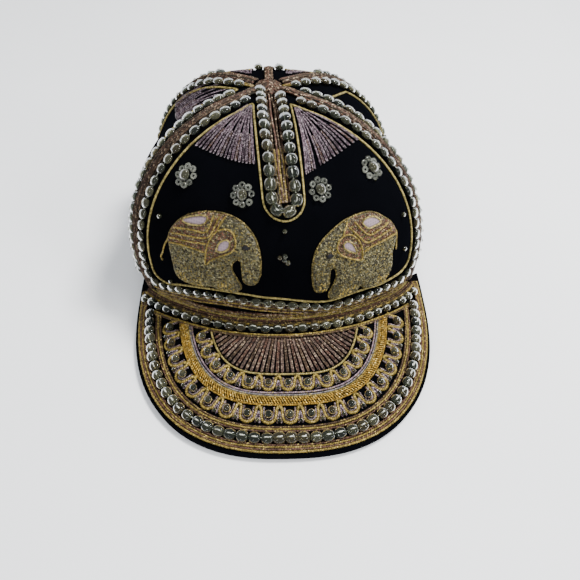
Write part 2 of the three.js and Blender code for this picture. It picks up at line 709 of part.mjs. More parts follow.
// Padded figure: a layer that follows the crown, cut to an outline drawn on a patch.
function paddedFigure({ angle, level, outline }) {
  const patch = crownPatch(angle, level);
  const reach = FIGURE_MARGIN + Math.max(...outline.flat().map(Math.abs));
  const at = (i, j) => [-reach + 2 * reach * j / FIGURE_GRID, -reach + 2 * reach * i / FIGURE_GRID];
  const layer = (raise) => (i, j) => patch.at(...at(i, j), raise).point;
  const sheet = slabGeometry(FIGURE_GRID, FIGURE_GRID, layer(REST_GAP + ELEPHANT_THICKNESS), layer(REST_GAP));
  const curve = new THREE.CatmullRomCurve3(outline.map(([x, y]) => new THREE.Vector3(x, y, 0)), true);
  const shape = new THREE.Shape(curve.getPoints(outline.length + FIGURE_EXTRA_POINTS).slice(0, -1));
  const cutter = new THREE.ExtrudeGeometry(shape, { depth: FIGURE_CUT.depth, bevelEnabled: false, steps: 1 });
  const frame = new THREE.Matrix4().makeBasis(patch.across, patch.up, patch.normal);
  cutter.translate(0, 0, -FIGURE_CUT.below).applyMatrix4(frame).translate(...patch.point.toArray());
  return geometryOf(manifoldOf(sheet).intersect(manifoldOf(cutter)));
}

// Rosette: beads on a small disc of thread, standing on the crown.
function rosette({ angle, level }) {
  const patch = crownPatch(angle, level);
  const { ring, disc: height, disc_sides: sides } = ROSETTE;
  const disc = new THREE.CylinderGeometry(ring, ring, height, sides).rotateX(Math.PI / 2);
  const core = new THREE.IcosahedronGeometry(ROSETTE.core, 0).scale(ROSETTE.core_stretch, 1, 1);
  let body = manifoldOf(disc.translate(0, 0, height / 2)).add(manifoldOf(core.translate(0, 0, ROSETTE.core)));
  for (let k = 0; k < ROSETTE.petals; k += 1) {
    const turn = 2 * Math.PI * k / ROSETTE.petals;
    const petal = new THREE.OctahedronGeometry(ROSETTE.petal, 0);
    petal.translate(ring * Math.cos(turn), ring * Math.sin(turn), ROSETTE.petal);
    body = body.add(manifoldOf(petal));
  }
  const frame = new THREE.Matrix4().makeBasis(patch.across, patch.up, patch.normal);
  const seat = patch.point.clone().addScaledVector(patch.normal, ROSETTE_SEAT);
  return geometryOf(body).applyMatrix4(frame).translate(...seat.toArray());
}

function topGather() {
  const apex = crownSurface(0, 1);
  const { radius, rise, sides, profile } = TOP_GATHER;
  const points = profile.map(([r, z]) => new THREE.Vector2(r * radius, z * rise));
  const dome = new THREE.LatheGeometry(points, sides).rotateX(Math.PI / 2);
  return dome.translate(apex.x, apex.y, apex.z + TOP_GATHER.seat);
}

const model = new THREE.Group();

function addPart(name, geometry, material) {
  const mesh = new THREE.Mesh(geometry, material);
  mesh.name = name;
  model.add(mesh);
}

const lines = SEAM_LINES;
const backAsLeft = { angle: -180, bow: 0 };
const sideHeight = () => ROW_ABOVE_RIM;
const frontHeight = (phi) => tableAt(FRONT_ROW_HEIGHTS, 'height', THREE.MathUtils.radToDeg(phi));
const PANELS = [
  { name: 'front', left: lines.front_left, right: lines.front_right, rimHeight: frontHeight },
  { name: 'side_right', left: lines.front_right, right: lines.rear_right, rimHeight: sideHeight },
  { name: 'back_right', left: lines.rear_right, right: lines.centre_back, rimHeight: sideHeight },
  { name: 'back_left', left: backAsLeft, right: lines.rear_left, rimHeight: sideHeight },
  { name: 'side_left', left: lines.rear_left, right: lines.front_left, rimHeight: sideHeight },
];

function addCrown() {
  for (const { name, left, right } of PANELS) {
    const columns = name === 'front' ? frontColumns : plainColumns(left, right, SIDE_COLUMNS);
    addPart(`crown_${name}`, crownPanel(columns), MATERIALS.velvet);
  }
  addPart('top_gather', topGather(), MATERIALS.brown);
}

// Adds a string of touching beads along a track, at the usual pitch.
function addBeadRow(name, track) {
  const count = Math.round(evenTrack(track, 1).total / BEAD_PITCH);
  addPart(name, beadString(track, count, BEAD_HALF), MATERIALS.glass);
}

function addBorderRows() {
  for (const panel of PANELS) {
    const isFront = panel.name === 'front';
    const topLeft = rowTop(panel.left, isFront ? lines.dart : panel.right);
    const topRight = rowTop(isFront ? lines.dart : panel.left, panel.right);
    const row = borderRow({ ...panel, topLeft, topRight });
    addBeadRow(`beads_${panel.name}`, trackOnCrown(row, REST_GAP));
  }
}

// Length of a seam from the rim to where its braid stops short of the gather.
function seamLength(line) {
  return lengthAlong((t) => crownBase(seamAngle(line, SEAM_MIDDLE), t), 0, 1, 60) - TOP_CLEARANCE;
}

// Adds a flat braid along a run of places on the crown.
function addCrownBraid(name, run, { half, rise, raise = REST_GAP }) {
  addPart(name, braidBand(trackOnCrown(run, raise), half, rise), MATERIALS.brown);
}

// Row of beads down one side of the dart, round its foot and up the other side.
function addDart() {
  const { offset, bottom, top, steps, foot_steps: footSteps } = DART_ROW;
  const run = seamRun(lines.dart, -offset, top, bottom + offset, steps);
  for (let i = 1; i < footSteps; i += 1) {
    const turn = Math.PI * i / footSteps;
    run.push(seamPlace(lines.dart, -offset * Math.cos(turn), bottom + offset - offset * Math.sin(turn)));
  }
  run.push(...seamRun(lines.dart, offset, bottom + offset, top, steps));
  addBeadRow('beads_dart', trackOnCrown(run, REST_GAP));
  addCrownBraid('braid_dart', seamRun(lines.dart, 0, DART_BRAID.bottom, seamLength(lines.dart)), DART_BRAID);
}

function addCrownBraids() {
  const above = RIM_BRAID.height + RIM_BRAID.half + SEAM_BRAID_GAP;
  const frontStart = SEAM_BRAID_FRONT_START;
  const starts = {
    front_left: frontStart, front_right: frontStart, rear_left: above, rear_right: above, centre_back: above,
  };
  for (const [name, start] of Object.entries(starts)) {
    addCrownBraid(`braid_${name}`, seamRun(lines[name], 0, start, seamLength(lines[name])), SEAM_BRAID);
  }
  const beside = SEAM_BRAID.half + SEAM_BRAID_GAP + RIM_BRAID.half;
  const frontEnds = [besideSeam(lines.front_left, 0, beside), besideSeam(lines.front_right, 0, -beside)];
  const front = rimRun(...frontEnds, (phi) => frontHeight(phi) - FRONT_RIM_BRAID.below);
  const backStart = besideSeam(lines.front_right, 0, beside);
  const backEnd = besideSeam(lines.front_left, 0, -beside) + 2 * Math.PI;
  addCrownBraid('braid_rim_front', front, FRONT_RIM_BRAID);
  addCrownBraid('braid_rim_back', rimRun(backStart, backEnd, () => RIM_BRAID.height), RIM_BRAID);
}

function addPeak() {
  addPart('peak', peakGeometry(), MATERIALS.velvet);
  for (const [name, { distance, half, rise, clearance, colour }] of Object.entries(PEAK_BANDS)) {
    addPart(name, braidBand(edgeTrack(distance, clearance), half, rise), MATERIALS[colour]);
  }
  const edge = edgeTrack(PEAK_EDGE_ROW.distance, PEAK_EDGE_ROW.clearance);
  addPart('beads_peak_edge', beadString(edge, PEAK_EDGE_ROW.count, BEAD_HALF), MATERIALS.glass);
  const root = rootTrack(PEAK_ROOT_ROW.distance, PEAK_ROOT_ROW.ends);
  addPart('beads_peak_root', beadString(root, PEAK_ROOT_ROW.count, BEAD_HALF), MATERIALS.glass);
  for (const [name, { distance, count, clearance }] of Object.entries(PEAK_SCALLOPS)) {
    const beads = spacedBeads(edgeTrack(distance, clearance), count, SCALLOP_BEAD_HALF);
    addPart(name, beads, MATERIALS.glass);
  }
}

function addFigures() {
  for (const [name, figure] of Object.entries(ELEPHANTS)) {
    addPart(name, paddedFigure(figure), MATERIALS.applique);
  }
  for (const [name, place] of Object.entries(ROSETTES)) addPart(name, rosette(place), MATERIALS.glass);
}

addCrown();
addCrownBraids();
addBorderRows();
addDart();
addPeak();
addFigures();

// Move the cap so that the origin is the bottom centre of its bounding box.
const bounds = new THREE.Box3().setFromObject(model, true);
const middle = bounds.getCenter(new THREE.Vector3());
model.position.set(-middle.x, -middle.y, -bounds.min.z);

export default model;
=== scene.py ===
import logging
import math
from dataclasses import dataclass
from enum import Enum
from typing import Callable, Sequence

import bpy
import numpy as np
from mathutils import Matrix, Vector
from mathutils.geometry import delaunay_2d_cdt


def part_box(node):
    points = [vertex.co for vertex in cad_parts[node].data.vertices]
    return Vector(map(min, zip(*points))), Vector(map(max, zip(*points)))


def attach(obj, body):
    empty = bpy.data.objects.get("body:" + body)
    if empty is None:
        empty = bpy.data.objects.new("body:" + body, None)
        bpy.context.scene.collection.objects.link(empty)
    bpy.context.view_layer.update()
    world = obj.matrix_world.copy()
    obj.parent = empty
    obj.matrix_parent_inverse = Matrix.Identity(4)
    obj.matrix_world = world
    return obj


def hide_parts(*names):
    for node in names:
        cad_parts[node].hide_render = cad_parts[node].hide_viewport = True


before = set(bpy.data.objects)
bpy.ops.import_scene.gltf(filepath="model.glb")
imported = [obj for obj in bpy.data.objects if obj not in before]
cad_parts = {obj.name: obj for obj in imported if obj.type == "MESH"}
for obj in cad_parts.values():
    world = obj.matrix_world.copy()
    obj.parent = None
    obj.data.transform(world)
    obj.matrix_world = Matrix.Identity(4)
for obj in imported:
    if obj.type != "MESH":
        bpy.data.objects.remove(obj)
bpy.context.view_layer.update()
LOG = logging.getLogger("cap")
MM = 0.001
ROOT_BODY = "root"
Array = np.ndarray
Colour = tuple[float, float, float]
Line = tuple[tuple[float, float], ...]
Piece = bpy.types.Object
Material = bpy.types.Material
Node = bpy.types.Node
Socket = bpy.types.NodeSocket
Level = float | Array
Height = Callable[[Array], Array]


class Slot(Enum):
    """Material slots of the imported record."""

    VELVET = "velvet"
    BRAID = "braid"
    GOLD = "gold_cord"
    GLASS = "glass"
    APPLIQUE = "applique"


class Dye(Enum):
    """Thread colours, as linear red, green and blue."""

    BROWN = (0.092, 0.055, 0.032)
    ROSE = (0.120, 0.060, 0.041)
    UMBER = (0.070, 0.042, 0.024)
    GOLD = (0.330, 0.235, 0.052)
    PALE_GOLD = (0.400, 0.320, 0.105)
    OCHRE = (0.390, 0.225, 0.030)
    LILAC = (0.135, 0.084, 0.108)
    MAUVE = (0.062, 0.034, 0.050)
    SILVER = (0.260, 0.235, 0.235)
    PLUM = (0.160, 0.104, 0.080)
    GREY_GREEN = (0.105, 0.094, 0.044)
    STRAW = (0.140, 0.108, 0.032)
    SHADOW = (0.030, 0.024, 0.012)
    RUST = (0.125, 0.058, 0.034)
    LAVENDER = (0.300, 0.210, 0.240)


def cubic(s: Array, start: Array, end: Array, start_slope: Array, end_slope: Array) -> Array:
    """Returns a smooth curve between two values, at shares s of the way.

    Args:
        s: Shares of the way.
        start: Value at the start.
        end: Value at the end.
        start_slope: Slope at the start.
        end_slope: Slope at the end.

    Returns:
        The values.
    """
    first = (2 * s**3 - 3 * s**2 + 1) * start + (s**3 - 2 * s**2 + s) * start_slope
    return first + (3 * s**2 - 2 * s**3) * end + (s**3 - s**2) * end_slope


def hermite(angles: Array, values: Array, query: Array) -> Array:
    """Reads a smooth curve through a table's rows.

    Args:
        angles: Angle of each row in degrees, rising.
        values: Value of each row.
        query: Angles to read the curve at.

    Returns:
        The values at the query angles.
    """
    slopes = np.zeros(len(angles))
    slopes[1:-1] = (values[2:] - values[:-2]) / (angles[2:] - angles[:-2])
    row = np.clip(np.searchsorted(angles, query, side="right") - 1, 0, len(angles) - 2)
    span = angles[row + 1] - angles[row]
    s = np.clip((query - angles[row]) / span, 0, 1)
    return cubic(s, values[row], values[row + 1], span * slopes[row], span * slopes[row + 1])


def smoothstep(value: Array, low: float, high: float) -> Array:
    """Returns a smooth 0 to 1 ramp between two values."""
    s = np.clip((value - low) / (high - low), 0, 1)
    return s * s * (3 - 2 * s)


def unit(vectors: Array) -> Array:
    """Returns the vectors scaled to length 1."""
    return vectors / np.maximum(np.linalg.norm(vectors, axis=-1, keepdims=True), 1e-12)


def run_lengths(points: Array) -> Array:
    """Returns the distance travelled at each point of a line."""
    steps = np.linalg.norm(np.diff(points, axis=0), axis=1)
    return np.concatenate([[0.0], np.cumsum(steps)])


def read_along(distances: Array, travelled: Array, rows: Array) -> Array:
    """Reads the rows of a line at distances from its start."""
    return np.stack([np.interp(distances, travelled, column) for column in rows.T], -1)


@dataclass
class Rail:
    """A line on the cap in millimetres, with the direction that faces out at each point."""

    points: Array
    normals: Array
    closed: bool = False

    @property
    def length(self) -> float:
        """Length of the line."""
        return float(run_lengths(self.points)[-1])

    def at(self, distances: Array) -> "Rail":
        """Reads the rail at distances from its start.

        Args:
            distances: Distances in millimetres.

        Returns:
            A rail with one point for each distance.
        """
        travelled = run_lengths(self.points)
        normals = unit(read_along(distances, travelled, self.normals))
        return Rail(read_along(distances, travelled, self.points), normals, self.closed)

    def even(self, step: float) -> "Rail":
        """Resamples the rail at nearly even steps and eases each point towards its neighbours.

        Args:
            step: Wanted step in millimetres.

        Returns:
            The resampled rail.
        """
        count = max(2, int(round(self.length / step)))
        rail = self.at(np.linspace(0, self.length, count + 1))
        rail.points[1:-1] = (rail.points[:-2] + 2 * rail.points[1:-1] + rail.points[2:]) / 4
        return rail

    def ahead(self) -> Array:
        """Unit direction of travel at each point."""
        return unit(np.gradient(self.points, axis=0))

    def sides(self) -> Array:
        """Unit sideways direction at each point."""
        return unit(np.cross(self.ahead(), self.normals))

    def shifted(self, across: Level, lift: Level = 0.0) -> "Rail":
        """Moves the rail sideways and outwards.

        Args:
            across: Sideways distance, one value or one for each point.
            lift: Outward distance, one value or one for each point.

        Returns:
            The moved rail.
        """
        across, lift = np.asarray(across, float), np.asarray(lift, float)
        moved = self.points + self.sides() * across[..., None] + self.normals * lift[..., None]
        return Rail(moved, self.normals.copy(), self.closed)

    def part(self, start: float, end: float) -> "Rail":
        """Returns the stretch between two shares of the rail's length.

        Args:
            start: Share where it starts.
            end: Share where it ends.

        Returns:
            The stretch.
        """
        travelled = run_lengths(self.points)
        low, high = start * travelled[-1], end * travelled[-1]
        inner = travelled[(travelled > low) & (travelled < high)]
        return self.at(np.concatenate([[low], inner, [high]]))


@dataclass(frozen=True)
class Seam:
    """A seam of the crown: its angle at the rim in degrees and how far it bows off it."""

    angle: float
    bow: float = 0.0

    def at(self, level: Level) -> Array:
        """Returns the seam's angle in radians at a level of the wall."""
        return np.radians(self.angle + self.bow * np.sin(np.pi * np.asarray(level, float)))


FRONT_LEFT = Seam(-56, -3)
FRONT_RIGHT = Seam(60.5, 6.5)
REAR_LEFT = Seam(-122.5)
REAR_RIGHT = Seam(122.5)
CENTRE_BACK = Seam(180)
CENTRE_BACK_AS_LEFT = Seam(-180)
DART = Seam(4.5)


@dataclass(frozen=True)
class Panel:
    """One panel of the crown, between its left and its right seam."""

    name: str
    left: Seam
    right: Seam


PANELS = (
    Panel("front", FRONT_LEFT, FRONT_RIGHT),
    Panel("side_right", FRONT_RIGHT, REAR_RIGHT),
    Panel("back_right", REAR_RIGHT, CENTRE_BACK),
    Panel("back_left", CENTRE_BACK_AS_LEFT, REAR_LEFT),
    Panel("side_left", REAR_LEFT, FRONT_LEFT),
)


@dataclass
class CrownForm:
    """The crown's outer surface in millimetres. phi runs round from the front, t up the wall."""

    angles: tuple[float, ...] = (0, 35, 62, 95, 125, 155, 180)
    reaches: tuple[float, ...] = (86.4, 88.5, 93.0, 86.8, 91.0, 91.3, 94.0)
    fullness: tuple[float, ...] = (2.6, 2.52, 2.46, 2.21, 2.22, 1.97, 1.87)
    bellies: tuple[float, ...] = (4.2, 4.8, 4.7, 0.6, 1.4, 1.8, 1.8)
    height: float = 117.9
    lean: float = -5.4
    shift: float = -1.2
    apex_y: float = 9.4
    rim_lift: float = 17.3
    rim_step: float = 3.0
    dent_depth: float = 5.7
    dent_radius: float = 35.4
    fold_depth: float = 2.6
    fold_half_width: float = 4.6
    lobe_height: float = 1.2
    lobe_offset: float = 11.0
    lobe_width: float = 7.0
    seam_middle: float = 0.4
    level_samples: int = 97

    def base(self, phi: Array, t: Array) -> Array:
        """Returns points of the crown without its dart's fold.

        Args:
            phi: Angles in radians.
            t: Levels from 0 at the rim to 1 at the top.

        Returns:
            The points.
        """
        phi, t = np.broadcast_arrays(np.asarray(phi, float), np.asarray(t, float))
        turn = np.abs(np.degrees(np.arctan2(np.sin(phi), np.cos(phi))))
        rows = np.array(self.angles, float)
        power = 2 / hermite(rows, np.array(self.fullness), turn)
        rho = np.maximum(np.cos(t * np.pi / 2), 0) ** power
        climb = np.maximum(np.sin(t * np.pi / 2), 0) ** power
        belly = hermite(rows, np.array(self.bellies), turn) * np.sin(np.pi * climb)
        r = hermite(rows, np.array(self.reaches), turn) * rho + belly
        facing = np.maximum(np.cos(phi), 0)
        rim = self.rim_lift * facing**1.5 + self.rim_step * facing**0.5
        dent = self.dent_depth * climb * np.exp(-((r / self.dent_radius) ** 2))
        x = r * np.sin(phi) + self.shift + self.lean * climb
        y = self.apex_y * (1 - rho) - r * np.cos(phi)
        return np.stack([x, y, rim + (self.height - rim) * climb - dent], -1)

    def _normals(self, surface: Callable[[Array, Array], Array], phi: Array, t: Array) -> Array:
        """Returns the outward directions of a surface.

        Args:
            surface: Gives the points.
            phi: Angles in radians.
            t: Levels.

        Returns:
            The directions.
        """
        step = 1e-3
        round_step = surface(phi + step, t) - surface(phi - step, t)
        up_step = surface(phi, np.minimum(t + step, 1)) - surface(phi, np.maximum(t - step, 0))
        return unit(np.cross(round_step, up_step))

    def fold(self, phi: Array, t: Array) -> Array:
        """Returns the height of the dart's fold and lobes over the plain crown.

        Args:
            phi: Angles in radians.
            t: Levels.

        Returns:
            The heights in millimetres.
        """
        turn = np.arctan2(np.sin(phi), np.cos(phi)) - np.radians(DART.angle)
        base = self.base(phi, t)
        radius = np.hypot(base[..., 0] - self.shift - self.lean, base[..., 1] - self.apex_y)
        side = np.abs(turn) * radius
        fade = smoothstep(t, 0.42, 0.62) * smoothstep(radius, 4, 16)
        lobe = self.lobe_height * np.exp(-(((side - self.lobe_offset) / self.lobe_width) ** 2))
        groove = self.fold_depth * np.exp(-((side / self.fold_half_width) ** 2))
        return np.where(np.abs(turn) < 1.6, fade * (lobe - groove), 0)

    def surface(self, phi: Array, t: Array) -> Array:
        """Returns points of the crown."""
        normals = self._normals(self.base, phi, t)
        return self.base(phi, t) + normals * self.fold(phi, t)[..., None]

    def place(self, phi: Array, t: Array, lift: Level = 0.0) -> tuple[Array, Array]:
        """Places points on the crown.

        Args:
            phi: Angles in radians.
            t: Levels from 0 at the rim to 1 at the top.
            lift: Height over the velvet in millimetres.

        Returns:
            The points and the outward directions there.
        """
        normals = self._normals(self.surface, phi, t)
        return self.surface(phi, t) + normals * np.asarray(lift, float)[..., None], normals

    def rail(self, path: Array, lift: float = 0.0, closed: bool = False) -> Rail:
        """Returns the rail over a path of angles and levels."""
        points, normals = self.place(path[:, 0], path[:, 1], lift)
        return Rail(points, normals, closed)

    def heights(self, phi: float) -> tuple[Array, Array]:
        """Returns levels up the wall at one angle, and their heights along the wall."""
        levels = np.linspace(0, 1, self.level_samples)
        return levels, run_lengths(self.base(np.full(len(levels), phi), levels))

    def seam_heights(self, seam: Seam) -> tuple[Array, Array]:
        """Returns levels up a seam, and their heights along it."""
        return self.heights(float(seam.at(self.seam_middle)))

    def level_at(self, phi: Array, height: Array) -> Array:
        """Returns the levels that lie at heights up the wall from the rim.

        Args:
            phi: Angles in radians.
            height: Heights in millimetres.

        Returns:
            The levels.
        """
        phi, height = np.broadcast_arrays(np.atleast_1d(phi), np.atleast_1d(height))
        tables = (self.heights(float(angle)) for angle in phi)
        return np.array([np.interp(h, run, levels) for h, (levels, run) in zip(height, tables)])

    def beside(self, seam: Seam, t: Array, distance: Level) -> Array:
        """Returns the angles that lie sideways of a seam at given levels.

        Args:
            seam: The seam.
            t: Levels.
            distance: Sideways distance in millimetres.

        Returns:
            The angles in radians.
        """
        steps, phi = 4, seam.at(t)
        for _ in range(steps):
            step = 1e-3
            gap = self.base(phi + step, t) - self.base(phi - step, t)
            stretch = np.linalg.norm(gap, axis=-1) / (2 * step)
            phi = phi + distance / steps / np.maximum(stretch, 0.5)
        return phi

    def seam_place(self, seam: Seam, distance: Level, height: Array) -> Array:
        """Returns places beside a seam, by sideways distance and height up the wall.

        Args:
            seam: The seam.
            distance: Distances from it.
            height: Heights along the wall.

        Returns:
            Angles and levels.
        """
        height = np.atleast_1d(np.asarray(height, float))
        levels, run = self.seam_heights(seam)
        t = np.interp(height, run, levels)
        return np.stack([self.beside(seam, t, distance), t], 1)

    def seam_run(self, seam: Seam, distance: float, start: float, end: float, count: int = 60) -> Array:
        """Returns a path beside a seam between two heights."""
        return self.seam_place(seam, distance, np.linspace(start, end, count))

    def seam_length(self, seam: Seam) -> float:
        """Returns a seam's length from the rim to the top."""
        return float(self.seam_heights(seam)[1][-1])

    def rim_run(self, start: float, end: float, height: Height) -> Array:
        """Returns a path along the rim between two angles.

        Args:
            start: First angle in radians.
            end: Last angle.
            height: Height over the rim, by angle.

        Returns:
            Angles and levels.
        """
        count = max(8, int(abs(end - start) / 0.02))
        phi = np.linspace(start, end, count + 1)
        return np.stack([phi, self.level_at(phi, height(phi))], 1)

    def height_on(self, seam: Seam, level: float) -> float:
        """Returns the height up a seam of a level of the wall."""
        levels, run = self.seam_heights(seam)
        return float(np.interp(level, levels, run))

    def meeting_level(self, left: Seam, right: Seam, apart: float) -> float:
        """Returns the level where two seams are a given distance apart.

        Args:
            left: The left seam.
            right: The right seam.
            apart: The distance between them.

        Returns:
            The level.
        """
        t = 0.97
        share = np.linspace(0, 1, 25)
        while True:
            phi = left.at(t) * (1 - share) + right.at(t) * share
            if run_lengths(self.base(phi, np.full(len(share), t)))[-1] >= apart:
                return t
            t -= 0.004

    def meeting_height(self, left: Seam, right: Seam, apart: float) -> float:
        """Returns the height on the left seam where two seams are a given distance apart."""
        return self.height_on(left, self.meeting_level(left, right, apart))


CROWN = CrownForm()


@dataclass
class PeakForm:
    """The peak's upper surface in millimetres, between the crown's rim and the peak's outline."""

    centre_x: float = 1.0
    half_width: float = 89.0
    widest_y: float = -60.0
    tip_y: float = -167.0
    squareness: float = 2.5
    corner_turn: float = 20.0
    corner_inward: float = 2.0
    corner_back: float = 20.0
    corner_rise: float = 5.5
    thickness: float = 3.8
    arch: float = 2.2
    root_gap: float = 0.6
    root_left: float = -61.5
    root_right: float = 63.5
    samples: int = 900
    edge_samples: int = 420
    root_samples: int = 180

    def __post_init__(self) -> None:
        """Measures the outline and the root once."""
        end = 90 + self.corner_turn
        outline = self.outline(np.linspace(-end, end, self.samples))
        self.edge_run = run_lengths(outline)
        self.edge_points = outline
        self.root_line = self.root(np.linspace(0, 1, self.root_samples + 1))

    def outline(self, turn: Array) -> Array:
        """Returns points of the outline, by the turn in degrees away from the tip.

        Args:
            turn: Turns, negative on the left.

        Returns:
            The points.
        """
        angle = np.radians(np.minimum(np.abs(turn), 90))
        power = 2 / self.squareness
        past = np.maximum(np.abs(turn) - 90, 0) / self.corner_turn
        x = self.half_width * np.sin(angle) ** power - self.corner_inward * past**2
        depth = (self.widest_y - self.tip_y) * np.maximum(np.cos(angle), 0) ** power
        depth = np.where(past > 0, 0, depth)
        y = self.widest_y - depth + self.corner_back * past
        z = self.thickness + self.corner_rise * past**2
        return np.stack([self.centre_x + np.sign(turn) * x, y, z], -1)

    def edge(self, share: Array) -> Array:
        """Returns points at shares of the outline's length, from left to right."""
        return read_along(np.asarray(share, float) * self.edge_run[-1], self.edge_run, self.edge_points)

    def root(self, share: Array) -> Array:
        """Returns points of the line where the peak is sewn to the crown.

        Args:
            share: Shares of the line, from left to right.

        Returns:
            The points.
        """
        phi = np.radians(self.root_left + (self.root_right - self.root_left) * np.asarray(share, float))
        points, normals = CROWN.place(phi, np.zeros_like(phi))
        normals[..., 2] = 0
        return points + unit(normals) * self.root_gap

    def nearest_root(self, spots: Array) -> tuple[Array, Array, Array]:
        """Finds the nearest place in plan on the root.

        Args:
            spots: Places in plan.

        Returns:
            Distance (negative behind the root), height there and share along the root.
        """
        starts, steps = self.root_line[:-1], np.diff(self.root_line, axis=0)
        away = spots[:, None, :2] - starts[None, :, :2]
        reach = (away * steps[None, :, :2]).sum(-1) / (steps[:, :2] ** 2).sum(-1)
        share = np.clip(reach, 0, 1)
        gap = away - steps[None, :, :2] * share[..., None]
        distance = np.linalg.norm(gap, axis=-1)
        row = np.arange(len(spots))
        best = distance.argmin(1)
        step, off = steps[best], away[row, best]
        front = step[:, 1] * off[:, 0] - step[:, 0] * off[:, 1] >= 0
        along = share[row, best]
        z = starts[best, 2] + along * step[:, 2]
        return np.where(front, 1, -1) * distance[row, best], z, (best + along) / len(starts)

    def height(self, spots: Array) -> Array:
        """Returns the height of the peak's upper surface over places in plan.

        Args:
            spots: The places.

        Returns:
            The heights.
        """
        gap, root_z, share = self.nearest_root(spots)
        n = self.squareness
        depth = np.maximum(self.widest_y - spots[:, 1], 0) / (self.widest_y - self.tip_y)
        reach = ((np.abs(spots[:, 0] - self.centre_x) / self.half_width) ** n + depth**n) ** (1 / n)
        to_edge = np.maximum(1 - reach, 0) * self.half_width
        from_root = np.maximum(gap, 0)
        v = from_root / np.maximum(from_root + to_edge, 1e-6)
        past = np.clip((spots[:, 1] - self.widest_y) / self.corner_back, 0, 1)
        edge_z = self.thickness + self.corner_rise * past**2
        swell = self.arch * np.sin(np.pi * v) * np.sin(np.pi * share)
        return root_z + (edge_z - root_z) * v + swell

    def place(self, spots: Array, lift: Level = 0.0) -> tuple[Array, Array]:
        """Returns points of the peak over places in plan, and the outward directions there.

        Args:
            spots: Places in plan.
            lift: Height over the velvet.

        Returns:
            The points and the directions.
        """
        step = 0.5
        nudge_x, nudge_y = np.array([step, 0.0]), np.array([0.0, step])
        slope_x = (self.height(spots + nudge_x) - self.height(spots - nudge_x)) / (2 * step)
        slope_y = (self.height(spots + nudge_y) - self.height(spots - nudge_y)) / (2 * step)
        normals = unit(np.stack([-slope_x, -slope_y, np.ones(len(spots))], 1))
        points = np.column_stack([spots, self.height(spots)])
        return points + normals * np.broadcast_to(np.asarray(lift, float), len(spots))[:, None], normals

    def rail(self, spots: Array, lift: float = 0.0) -> Rail:
        """Returns the rail over places in plan."""
        return Rail(*self.place(spots, lift))

    def edge_track(self, distance: float, clearance: float) -> Array:
        """Returns places in plan that keep one distance from the outline, clear of the root.

        Args:
            distance: Distance from the outline.
            clearance: Least distance from the root.

        Returns:
            The places.
        """
        edge = self.edge(np.linspace(0, 1, self.edge_samples))[:, :2]
        along = unit(np.gradient(edge, axis=0))
        spots = edge + np.stack([-along[:, 1], along[:, 0]], 1) * distance
        return spots[self.nearest_root(spots)[0] >= clearance]

    def root_track(self, distance: float, ends: float) -> Array:
        """Returns places in plan that keep one distance from the root.

        Args:
            distance: Distance from the root.
            ends: Share that is left out at each end.

        Returns:
            The places.
        """
        share = np.linspace(ends, 1 - ends, self.root_samples)
        along = unit(np.gradient(self.root(share)[:, :2], axis=0))
        return self.root(share)[:, :2] + np.stack([along[:, 1], -along[:, 0]], 1) * distance


PEAK = PeakForm()


class Patch:
    """A drawing plane that touches the crown, with x across and y up in millimetres."""

    def __init__(self, angle: float, level: float, spread: float = 0.9) -> None:
        """Lays the plane on the crown at an angle in degrees and a level.

        Args:
            angle: Angle in degrees.
            level: Level on the wall.
            spread: Half the angle that it covers, in radians.
        """
        phi = math.radians(angle)
        points, normals = CROWN.place(np.array([phi]), np.array([level]))
        step = 1e-3
        across = CROWN.surface(phi + step, level) - CROWN.surface(phi - step, level)
        self.point, self.normal = points[0], normals[0]
        self.across = across / np.linalg.norm(across)
        self.up = np.cross(self.normal, self.across)
        turns = phi + np.linspace(-spread, spread, 49)
        levels = np.linspace(max(level - 0.5, 0), min(level + 0.5, 0.985), 49)
        grid_phi, grid_t = np.meshgrid(turns, levels)
        self.start = np.stack([grid_phi.ravel(), grid_t.ravel()], 1)
        self.start_flat = self.flat(self.start[:, 0], self.start[:, 1])

    def flat(self, phi: Array, t: Array) -> Array:
        """Returns where places of the crown fall on the plane."""
        offset = CROWN.surface(phi, t) - self.point
        return np.stack([offset @ self.across, offset @ self.up], -1)

    def solve(self, drawn: Array) -> Array:
        """Finds the angles and levels under points drawn on the plane.

        Args:
            drawn: The points, in millimetres.

        Returns:
            Angle in radians and level of each point.
        """
        gaps = ((drawn[:, None] - self.start_flat[None]) ** 2).sum(-1)
        phi, t = self.start[gaps.argmin(1)].T
        step = 1e-4
        for _ in range(5):
            here = self.flat(phi, t)
            by_phi = (self.flat(phi + step, t) - here) / step
            by_t = (self.flat(phi, t + step) - here) / step
            miss = drawn - here
            det = by_phi[:, 0] * by_t[:, 1] - by_phi[:, 1] * by_t[:, 0]
            det = np.where(np.abs(det) < 1e-6, 1e-6, det)
            phi = phi + np.clip((miss[:, 0] * by_t[:, 1] - miss[:, 1] * by_t[:, 0]) / det, -0.1, 0.1)
            t = t + np.clip((miss[:, 1] * by_phi[:, 0] - miss[:, 0] * by_phi[:, 1]) / det, -0.05, 0.05)
            t = np.clip(t, 0, 0.99)
        return np.stack([phi, t], 1)

    def at(self, drawn: Array, lift: Level = 0.0) -> tuple[Array, Array]:
        """Returns crown points under a drawing, raised by lift, and the outward directions."""
        places = self.solve(np.asarray(drawn, float))
        return CROWN.place(places[:, 0], places[:, 1], lift)

    def rail(self, drawn: Array, lift: Level = 0.0, closed: bool = False) -> Rail:
        """Returns the rail over a drawn line."""
        return Rail(*self.at(drawn, lift), closed)


